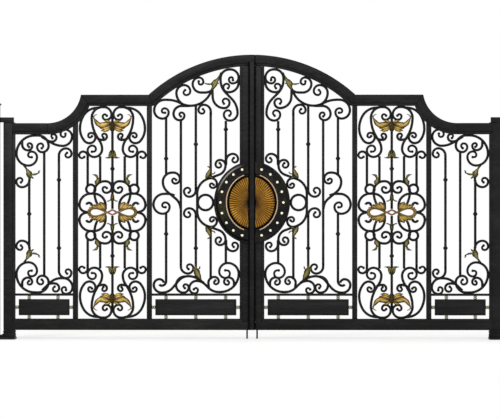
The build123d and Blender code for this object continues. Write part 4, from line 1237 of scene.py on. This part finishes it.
@dataclass
class Medallion:
    """The oval medallion, cut by the meeting line: ring, bead, pleated fan and studs."""

    half_width: float = 323.0
    half_height: float = 349.0
    steps: int = 120
    band: float = 107.0
    edge_profile: Rows = ((0, 0), (0, 8), (1.5, 12), (5, 14), (10, 15))
    lip_end: float = 100.5
    lip_profile: Rows = ((-15, 15), (-9, 16), (-4, 18), (-0.2, 16), (0, 12), (0, 0))
    round_stations: int = 9
    line_inset: float = 24.6
    line_half: float = 7.0
    line_seat: float = 14.5
    line_rise: float = 5.5
    # middle of the raised line's painted highlight, as an angle round the oval
    highlight_at: float = math.radians(46)
    bead_gap: float = 0.3
    bead_width: float = 14.0
    bead_step: float = 2.5
    bead_seat: float = 12.0
    bead_rise: float = 9.5
    bead_foot: float = 7.0
    bead_stop: float = 66.0
    pleats: int = 30
    # strength of the painted highlight on the pleats' crests and the painted shade in their troughs
    pleat_shading: float = 1.2
    fan_steps: int = 361
    fan_lap: float = 0.8
    # share of the fan's oval, depth, height of the pleats and tone; the tone is painted shade,
    # nought in the groove and falling towards the middle
    fan_profile: Rows = (
        (1.0, 0.0, 0.0, 0.0), (1.0, 4.0, 0.0, 0.0), (0.96, 4.0, 0.0, 0.0),
        (0.95, 12.0, 3.5, 0.45), (0.9, 13.0, 3.9, 0.56), (0.75, 11.5, 3.5, 0.6),
        (0.6, 10.0, 2.8, 0.56), (0.45, 8.5, 2.2, 0.5), (0.32, 7.0, 1.5, 0.4),
        (0.22, 6.0, 0.9, 0.22), (0.16, 5.5, 0.4, 0.04), (0.16, 0.0, 0.0, 0.0),
    )
    stud_count: int = 9
    stud_step: float = 18.0
    stud_inset: float = 56.0
    stud_radius: float = 11.5
    stud_seat: float = 14.0
    dome_foot: float = 2.0
    dome_rise: float = 7.0
    dome_angles: Row = (0, 20, 40, 58, 74, 86)
    rim_power: float = 0.9

    def oval(
        self,
        inset: np.ndarray,
        depth: np.ndarray,
        steps: int,
        shrink: np.ndarray | float = 1.0,
        stop: float = SET.gate_middle - SET.stile_end,
    ) -> tuple[np.ndarray, np.ndarray]:
        """Carries a section round the half oval that lies left of the meeting line.

        Point a of the oval is x = middle - w cos a, z = height + h sin a, where w and h are the
        half sizes less the inset, and a runs as far as the oval meets the line.

        Args:
            inset: how far in from the outer oval each point of the section lies.
            depth: how far each point of the section lies before the frame's front.
            steps: points round the half oval.
            shrink: share that scales each point's oval.
            stop: how far from the gate's middle the oval is cut.

        Returns:
            Rings shaped steps by points by 3, and the angle a at each.
        """
        wide, tall = (self.half_width - inset) * shrink, (self.half_height - inset) * shrink
        a = np.linspace(-1, 1, steps)[:, None] * np.arccos(stop / wide)
        x, z = SET.gate_middle - wide * np.cos(a), SET.medallion_z + tall * np.sin(a)
        return np.stack([x, np.broadcast_to(SET.frame_front - depth, x.shape), z], axis=-1), a

    def ring(self) -> list[Shell]:
        """The ring: a rounded outer edge, a flat band and an inner lip.

        Returns:
            Its closed surface.
        """
        lip = np.array(self.lip_profile) + [self.lip_end, 0]
        inset, depth = np.concatenate([self.edge_profile, lip]).T
        rings, _ = self.oval(inset, depth, self.steps)
        return [tube(rings)]

    def line(self) -> list[Shell]:
        """The ring's raised line: a half round, with a painted highlight on its upper outer
        quarter.

        Its tone, the painted highlight, is the cosine of twice the angle from the highlight's
        middle, and nought past it.

        Returns:
            Its closed surface.
        """
        t = np.linspace(0, np.pi, self.round_stations)
        inset = self.line_inset - self.line_half * np.cos(t)
        rings, angle = self.oval(inset, self.line_seat + self.line_rise * np.sin(t), self.steps)
        return [tube(rings, np.clip(np.cos(2 * (angle - self.highlight_at)), 0, 1))]

    def bead(self) -> list[Shell]:
        """The bead: a half round on a flat foot, with a low step beside the fan. Its tone is a
        painted highlight on the crest and painted shade at the sides.

        Returns:
            Its closed surface.
        """
        t = np.linspace(0, np.pi, self.round_stations)
        half = (self.bead_width - self.bead_step) / 2
        inset = self.lip_end + self.bead_gap + half * (1 - np.cos(t))
        foot = self.band + self.bead_width
        inset = np.concatenate([inset[:1], inset, [foot, foot]])
        depth = self.bead_seat + self.bead_rise * np.sin(t)
        depth = np.concatenate([[0.0], depth, [self.bead_foot, 0.0]])
        rings, _ = self.oval(inset, depth, self.steps, stop=self.bead_stop)
        # tone: a painted highlight along the crest and painted shade at the sides and on the foot
        crest = np.concatenate([[0.0], np.sin(t), [0.0, 0.0]])
        return [tube(rings, np.repeat(crest[None, :], self.steps, axis=0))]

    def fan(self) -> list[Shell]:
        """The pleated fan: a shallow cone whose pleats are a wave |2 frac(n a) - 1| of its angle.

        The cone deepens towards the middle, the pleats grow with the radius, and a groove
        parts the fan from the bead. Its tone is painted light: a highlight on the crests of the
        pleats, and shade in the troughs, in the groove and towards the middle.

        Returns:
            Its closed surface.
        """
        share, depth, pleat, light = np.array(self.fan_profile).T
        foot = np.full(len(share), self.band + self.bead_width - self.fan_lap)
        rings, angle = self.oval(foot, depth, self.fan_steps, share)
        wave = np.abs(2 * np.mod(angle * self.pleats / np.pi, 1.0) - 1)
        rings[..., 1] -= wave * pleat
        return [tube(rings, np.clip(light + (wave - 0.5) * self.pleat_shading * light, 0, 1))]

    def studs(self) -> list[Shell]:
        """The domed studs: height and radius of each dome are the sine and cosine of one angle.

        Returns:
            One closed surface a stud, dark at its rim.
        """
        spread = (np.arange(self.stud_count) - (self.stud_count - 1) / 2) * self.stud_step
        angle = np.radians(180 + spread)
        x = SET.gate_middle + (self.half_width - self.stud_inset) * np.cos(angle)
        z = SET.medallion_z + (self.half_height - self.stud_inset) * np.sin(angle)
        t = np.radians(self.dome_angles)
        height = self.dome_foot + self.dome_rise * np.sin(t)
        dome = np.stack([height, self.stud_radius * np.cos(t)], axis=1)
        profile = np.concatenate([[[0.0, self.stud_radius]], dome])
        rim = np.repeat(np.append(0.0, np.sin(t) ** self.rim_power), ROUND)
        front = SET.frame_front - self.stud_seat
        domes = [turned((u, front, v), FRONT, profile, ROUND) for u, v in zip(x, z)]
        return [replace(stud, tone=rim) for stud in domes]


@dataclass
class KickFittings:
    """The turned collars that hold each kick plate in its opening, and the plates' lines."""

    low: float = SET.bottom_rail_top
    high: float = 368.0
    margin: float = 28.0
    outer_places: Row = (0.24, 0.74)
    inner_places: Row = (0.16, 0.5, 0.84)
    neck: float = 9.0
    swell: float = 8.5
    stations: int = 17
    face: float = 7.0
    line_inset: float = 13.0
    line_width: float = 6.0
    line_section: Rows = ((0.0, -0.5), (0.2, 1.4), (0.8, 1.4), (1.0, -0.5))

    @property
    def middle(self) -> float:
        """Height of the plates' middle."""
        return (self.low + self.high) / 2

    @property
    def panels(self) -> Rows:
        """Left edge, width and collar places of the two panels that have a plate."""
        outer = (SET.outer_left, SET.outer_width, self.outer_places)
        return outer, (SET.inner_left, SET.inner_width, self.inner_places)

    def spool(self, base: Row, axis: Row) -> Shell:
        """One collar: r = neck + swell |sin 2 pi t|, a double belly along its length, with a
        painted highlight on the bellies and painted shade in the necks.

        Args:
            base: middle of its first end.
            axis: direction in which it runs.

        Returns:
            Its closed surface.
        """
        t = np.linspace(0, 1, self.stations)
        radius = self.neck + self.swell * np.abs(np.sin(2 * np.pi * t))
        return turned(base, axis, np.stack([t * self.margin, radius], axis=1), ROUND)

    def lines(self) -> list[Shell]:
        """A raised line round both faces of each plate: one section at its four mitred corners.

        Returns:
            Their closed surfaces.
        """
        share, proud = np.array(self.line_section).T
        inset = self.line_inset + self.line_width * share
        sign_x, sign_z = np.array([[-1.0, 1, 1, -1], [-1, -1, 1, 1]])[:, :, None]
        half = (self.high - self.low) / 2 - self.margin
        shells = []
        for left, width, _ in self.panels:
            x = left + width / 2 + sign_x * (width / 2 - self.margin - inset)
            z = self.middle + sign_z * (half - inset)
            for way in (-1, 1):
                y = np.broadcast_to(way * (self.face + proud), x.shape)
                shells.append(tube(np.stack([x, y, z], axis=-1), loop=True))
        return shells

    def collars(self) -> list[Shell]:
        """The collars over, under and beside both plates.

        Returns:
            Their closed surfaces.
        """
        shells = []
        for left, width, places in self.panels:
            for z in (self.low, self.high - self.margin):
                shells += [self.spool((left + share * width, 0.0, z), UP) for share in places]
            for x in (left, left + width - self.margin):
                shells.append(self.spool((x, 0.0, self.middle), ALONG))
        return shells


@dataclass
class PostFittings:
    """Anchor studs, washers and nuts on the ground plate, and the weld round the post."""

    plate_top: float = 17.0
    spacing: float = 190.0
    # rows of height over the plate and radius
    washer: Rows = ((0.0, 15.0), (0.4, 15.6), (2.6, 15.6), (3.0, 15.0))
    nut: Rows = ((3.0, 13.4), (3.6, 13.9), (14.0, 13.9), (16.0, 12.2))
    stud: Rows = ((3.0, 8.0), (22.0, 8.0), (24.0, 6.8))
    washer_corners: int = 24
    nut_corners: int = 6
    post: float = 150.0
    leg: float = 8.0
    sink: float = 1.0
    ripples: int = 96
    ripple_share: float = 0.1
    weld_steps: int = 480
    weld_stations: int = 5

    def anchors(self) -> list[Shell]:
        """A washer, a six-sided nut with a chamfered top and a stud end at each hole.

        Returns:
            Their closed surfaces.
        """
        places = (-self.spacing / 2, self.spacing / 2)
        kinds = (
            (self.washer, self.washer_corners), (self.nut, self.nut_corners), (self.stud, ROUND),
        )
        return [
            turned((x, y, self.plate_top), UP, np.array(profile), corners)
            for x in places
            for y in places
            for profile, corners in kinds
        ]

    def weld(self) -> list[Shell]:
        """A rippled weld: a quarter-round bead whose leg waves along a square path.

        Returns:
            Its closed surface.
        """
        half = self.post / 2
        a = np.linspace(0, 2 * np.pi, self.weld_steps, endpoint=False)[:, None]
        scale = half / np.maximum(np.abs(np.cos(a)), np.abs(np.sin(a)))
        leg = self.leg * (1 - self.ripple_share + self.ripple_share * np.sin(a * self.ripples))
        t = np.linspace(0, np.pi / 2, self.weld_stations)
        inside = np.full_like(a, -self.sink)
        out = np.concatenate([inside, leg * np.cos(t), inside], axis=1)
        rise = np.concatenate([np.zeros_like(a), leg * np.sin(t), leg], axis=1)
        reach = scale * (1 + out / half)
        place = [reach * np.cos(a), reach * np.sin(a), self.plate_top + rise]
        return [tube(np.stack(place, axis=-1), loop=True)]


@dataclass
class PivotPlates:
    """Wear plates between the hinge stile and its pivots, and the bracket's end cap."""

    stile: Row = (112.0, 208.0, 28.0)
    hole: Row = (140.0, 180.0, 20.0)
    head: Row = (1834.0, 1839.5)
    foot: Row = (74.5, 78.0)
    cap: Row = ((180.0, -35.8, 1861.0), (195.8, 35.8, 1882.8))

    def wear(self) -> list[Shell]:
        """A plate on the stile's head and one under its foot, each clear of its pivot.

        Each plate is four blocks round a square hole that the pivot's pin passes through.

        Returns:
            Their closed surfaces.
        """
        (near, far, half), (start, end, gap) = self.stile, self.hole
        plans = (
            (near, start, -half, half),
            (end, far, -half, half),
            (start, end, -half, -gap),
            (start, end, gap, half),
        )
        return [
            block((left, front, low), (right, back, high))
            for low, high in (self.head, self.foot)
            for left, right, front, back in plans
        ]

    def end_cap(self) -> list[Shell]:
        """A block that carries the bracket's upper tier out to its lower one."""
        return [block(*self.cap)]


@dataclass
class Leaf:
    """One leaf: its rounded frame members and all that is fixed to it."""

    side: Side
    shop: Workshop
    members: Rows = (
        ("hinge_stile", 4.0), ("meeting_stile", 1.2), ("bottom_rail", 4.0), ("top_rail_low", 4.0),
        ("top_rail_sweep", 4.0), ("top_rail_middle", 4.0), ("top_rail_arch", 4.0),
        ("mullions", 3.0), ("cross_bars", 2.0), ("bolt_guides", 1.5),
    )
    strip_edge: float = 1.2
    kick_edge: float = 5.0

    def build(self) -> None:
        """Builds the leaf from its frame to its castings."""
        side, shop, body = self.side, self.shop, self.side.leaf
        for member, radius in self.members:
            shop.rounded(side.node(member), TUBE_PAINT, body, radius)
        if side is Side.LEFT:
            shop.rounded("closing_strip", TUBE_PAINT, body, self.strip_edge)
        shop.rounded(side.node("kick_plates"), KICK_SHEET, body, self.kick_edge)
        shop.pair(side, "wear_plates", PivotPlates().wear(), TUBE_PAINT, body, smooth=False)
        outer, middle, inner = OuterPanel(), MiddlePanel(), InnerPanel()
        kick, medallion = KickFittings(), Medallion()
        leaves = outer.leaves() + inner.leaves() + middle.buds()
        # the painted highlight on the ring's line goes on the left leaf only, whose upper outer
        # quarter faces the key lamp; the right leaf's line keeps the plain ring paint
        line_paint = RING_LINE_HIGHLIGHT if side is Side.LEFT else RING_PAINT
        for name, shells, finish, *nodes in (
            ("outer_forged_bars", outer.bars(), BAR_PAINT, "outer_scrollwork"),
            ("middle_forged_bars", middle.bars(), BAR_PAINT, "middle_scrollwork"),
            ("inner_forged_bars", inner.bars(), BAR_PAINT, "inner_scrollwork"),
            ("cast_leaves", leaves, DULL_GILT, "gilt_leaves"),
            ("cast_palmettes", middle.palmettes(), GILT, "gilt_palmettes"),
            ("cast_rosette", middle.rosette_shells(), GILT, "gilt_rosette"),
            ("rosette_diamond", middle.diamond_shells(), ROSE_BRONZE),
            ("kick_spools", kick.collars(), PALE_GILT, "kick_collars"),
            ("kick_lines", kick.lines(), BAR_PAINT),
            ("cast_ring", medallion.ring(), RING_PAINT, "medallion_ring"),
            ("ring_line", medallion.line(), line_paint),
            ("enamel_bead", medallion.bead(), BEAD_ENAMEL, "medallion_bead"),
            ("bronze_fan", medallion.fan(), SUNBURST, "medallion_sunburst"),
            ("enamel_studs", medallion.studs(), STUD_ENAMEL, "medallion_studs"),
        ):
            shop.pair(side, name, shells, finish, body, nodes)


@dataclass
class Posts:
    """Both posts with their plates, pivots and anchors."""

    shop: Workshop
    nodes: Rows = (("post", 6.0), ("pivot_foot", 2.0), ("top_bracket", 2.0))

    def build(self) -> None:
        """Rounds the posts' pieces and adds the anchors, the welds and the bracket's ends."""
        fittings = PostFittings()
        for side in Side:
            for name, radius in self.nodes:
                self.shop.rounded(side.node(name), TUBE_PAINT, "posts", radius)
            self.shop.dress(side.node("ground_plate"), TUBE_PAINT)
            for name, shells, finish, smooth in (
                ("anchor_nuts", fittings.anchors(), ROD_STEEL, False),
                ("post_weld", fittings.weld(), TUBE_PAINT, True),
                ("bracket_end", PivotPlates().end_cap(), TUBE_PAINT, False),
            ):
                self.shop.pair(side, name, shells, finish, "posts", smooth=smooth)


@dataclass
class MeetingShadowSeals:
    """The closing strip's rubber: a lip in the meeting gap and a seal on each front edge, black as
    painted shadow lines along both edges of the strip; the lip also closes the gap.

    A row gives a seal's two sides, measured from the strip's edge, and its front and back,
    measured from the strip's front.
    """

    shop: Workshop
    lip: Row = (-1.0, 5.6, 22.0, 58.0)
    right_shadow_seal: Row = (-5.0, 4.5, -3.0, 1.0)
    left_shadow_seal: Row = (-3.0, 9.0, -6.0, 1.0)
    lip_top: float = 2412.0
    end_gap: float = 1.0

    def build(self) -> None:
        """Sets upright boxes: the lip reaches the crown, the seals stop at the strip's head."""
        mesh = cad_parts["closing_strip"].data
        flat = np.empty(len(mesh.vertices) * 3, np.float32)
        mesh.vertices.foreach_get("co", flat)
        corners = flat.reshape(-1, 3)
        left, front, foot = corners.min(axis=0) / MM
        right, _, head = corners.max(axis=0) / MM
        shells = []
        # each box is black rubber set where the strip's edges show a line of shadow: painted shadow
        for edge, (near, far, fore, back), top in (
            (right, self.lip, self.lip_top),
            (right, self.right_shadow_seal, head - self.end_gap),
            (left, self.left_shadow_seal, head - self.end_gap),
        ):
            low = (edge + near, front + fore, foot + self.end_gap)
            shells.append(block(low, (edge + far, front + back, top)))
        self.shop.piece("meeting_shadow_seals", shells, SHADOW_LINE_RUBBER, Side.LEFT.leaf, smooth=False)


@dataclass
class DropBolts:
    """Both drop bolts, with a turned knob on each handle."""

    shop: Workshop
    x: float = 2178.0
    end_y: float = 118.8
    z: float = 420.0
    radius: float = 10.5
    ball_angles: Row = (150, 8)
    stations: int = 13
    corners: int = 20
    neck: Rows = ((-38.0, 6.6), (-36.0, 8.0), (-24.0, 8.0), (-21.0, 6.8))

    def knob(self) -> list[Shell]:
        """A ball on a short neck: along the handle r cos t, out from it r sin t.

        Returns:
            Its closed surface.
        """
        t = np.radians(np.linspace(*self.ball_angles, self.stations))
        ball = np.stack([self.radius * (np.cos(t) - 1), self.radius * np.sin(t)], axis=1)
        profile = np.concatenate([self.neck, ball])
        return [turned((self.x, self.end_y, self.z), BACK, profile, self.corners)]

    def build(self) -> None:
        """Gives both bolts their worn steel and a knob each."""
        for side in Side:
            bolt = side.node("drop_bolt")
            self.shop.dress(bolt, ROD_STEEL)
            self.shop.pair(side, "bolt_knob", self.knob(), ROD_STEEL, bolt)


@dataclass(frozen=True)
class Lamp:
    """A square soft lamp, in metres: its place from the gate's middle and the height it faces."""

    name: str
    place: Row
    aim_z: float
    size: float
    watts: float

    def hang(self, middle: float) -> None:
        """Hangs the lamp and turns it to the gate's middle.

        Args:
            middle: x of the gate's middle.
        """
        light = bpy.data.lights.new(self.name, "AREA")
        light.shape = "SQUARE"
        light.size = self.size
        light.energy = self.watts
        lamp = in_scene(self.name, light)
        aside, y, z = self.place
        lamp.location = (middle + aside, y, z)
        toward = Vector((-aside, -y, self.aim_z - z))
        lamp.rotation_euler = toward.to_track_quat("-Z", "Y").to_euler()


@dataclass
class Studio:
    """White room, in metres: a pale floor, an even sky, three soft lamps and the camera."""

    distance: float = 30.0
    view_width: float = 4.24
    sensor: float = 36.0
    aim_x: float = -0.017
    aim_z: float = 1.10075
    turn: float = math.radians(0.9)
    lamps: Rows = (
        Lamp("key", (-4.0, -6.0, 5.5), 1.1, 3.0, 520.0),
        Lamp("fill", (5.0, -6.5, 3.0), 1.1, 4.0, 140.0),
        Lamp("rim", (1.0, 5.0, 5.0), 1.2, 3.0, 160.0),
    )
    floor_half: float = 40.0
    floor_z: float = -0.001
    fade: Row = (2.5, 8.0)
    near_white: float = 0.55

    @property
    def middle(self) -> float:
        """Where the gate's middle lies, in metres."""
        return SET.gate_middle * MM

    def seen_white(self, tree: bpy.types.NodeTree) -> bpy.types.Node:
        """One where a camera, glossy or transmission ray asks, and nought elsewhere.

        Args:
            tree: the material's or world's tree.

        Returns:
            The node that gives it.
        """
        path = node(tree, "LightPath", {})
        seen = {0: (path, "Is Camera Ray"), 1: (path, "Is Glossy Ray")}
        either = node(tree, "Math", seen, operation="MAXIMUM")
        through = {0: (either, 0), 1: (path, "Is Transmission Ray")}
        return node(tree, "Math", through, operation="MAXIMUM")

    def world(self) -> None:
        """An even pale sky that reads as white where it is seen."""
        world = bpy.data.worlds.new("white_room")
        tree = blank_tree(world)
        light = node(tree, "Background", {"Color": (1.0, 0.99, 0.97, 1.0), "Strength": 0.6})
        white = node(tree, "Background", {"Color": (1.0, 1.0, 1.0, 1.0), "Strength": 1.0})
        mix = node(tree, "MixShader", {0: (self.seen_white(tree), 0), 1: (light, 0), 2: (white, 0)})
        node(tree, "OutputWorld", {"Surface": (mix, 0)})
        bpy.context.scene.world = world

    def floor(self) -> None:
        """A pale floor that keeps a soft shadow near the gate and goes over into white far off.

        The share of plain white that is seen rises with the distance from the gate's middle.
        """
        mesh = bpy.data.meshes.new("studio_floor")
        plan = self.floor_half * np.array([[-1, -1], [1, -1], [1, 1], [-1, 1]])
        corners = np.insert(plan, 2, self.floor_z, axis=1)
        mesh.from_pydata(corners.tolist(), [], [(0, 1, 2, 3)])
        floor = in_scene("studio_floor", mesh)
        made = bpy.data.materials.new("pale_floor_paper")
        tree = blank_tree(made)
        paper = node(tree, "BsdfDiffuse", {"Color": linear("#F8F8F8")})
        glow = node(tree, "Emission", {"Color": (1.0, 1.0, 1.0, 1.0), "Strength": 1.0})
        place = node(tree, "TexCoord", {})
        centre = (self.middle, 0.0, 0.0)
        away = node(tree, "VectorMath", {0: (place, "Object"), 1: centre}, operation="DISTANCE")
        near, far = self.fade
        ends = {"From Min": near, "From Max": far, "To Min": self.near_white, "To Max": 1.0}
        faded = node(
            tree, "MapRange", {"Value": (away, "Value"), **ends}, interpolation_type="SMOOTHSTEP"
        )
        white = {0: (self.seen_white(tree), 0), 1: (faded, 0)}
        share = node(tree, "Math", white, operation="MULTIPLY")
        mix = node(tree, "MixShader", {0: (share, 0), 1: (paper, 0), 2: (glow, 0)})
        node(tree, "OutputMaterial", {"Surface": (mix, 0)})
        mesh.materials.append(made)

    def camera(self) -> None:
        """Sets the long-lens camera, turned a shade to the right of square."""
        lens = bpy.data.cameras.new("front_view")
        lens.sensor_fit = "HORIZONTAL"
        lens.sensor_width = self.sensor
        lens.lens = self.sensor * (self.distance + SET.frame_front * MM) / self.view_width
        camera = in_scene("front_view", lens)
        aside, back = self.distance * math.sin(self.turn), self.distance * math.cos(self.turn)
        camera.location = (self.middle + self.aim_x + aside, -back, self.aim_z)
        camera.rotation_euler = (math.pi / 2, 0.0, self.turn)
        bpy.context.scene.camera = camera

    def build(self) -> None:
        """Sets up the room, the lamps and the camera."""
        self.world()
        self.floor()
        for lamp in self.lamps:
            lamp.hang(self.middle)
        self.camera()
        bpy.context.scene.view_settings.view_transform = "Standard"


def main() -> None:
    """Builds the posts, both leaves, the seals, the bolts and the room, in that order."""
    logging.basicConfig(level=logging.INFO, format="%(name)s %(message)s")
    shop = Workshop()
    Posts(shop).build()
    for side in Side:
        Leaf(side, shop).build()
    MeetingShadowSeals(shop).build()
    DropBolts(shop).build()
    Studio().build()
    log.info("%d pieces dressed", len(shop.made))


if __name__ == "__main__":
    main()
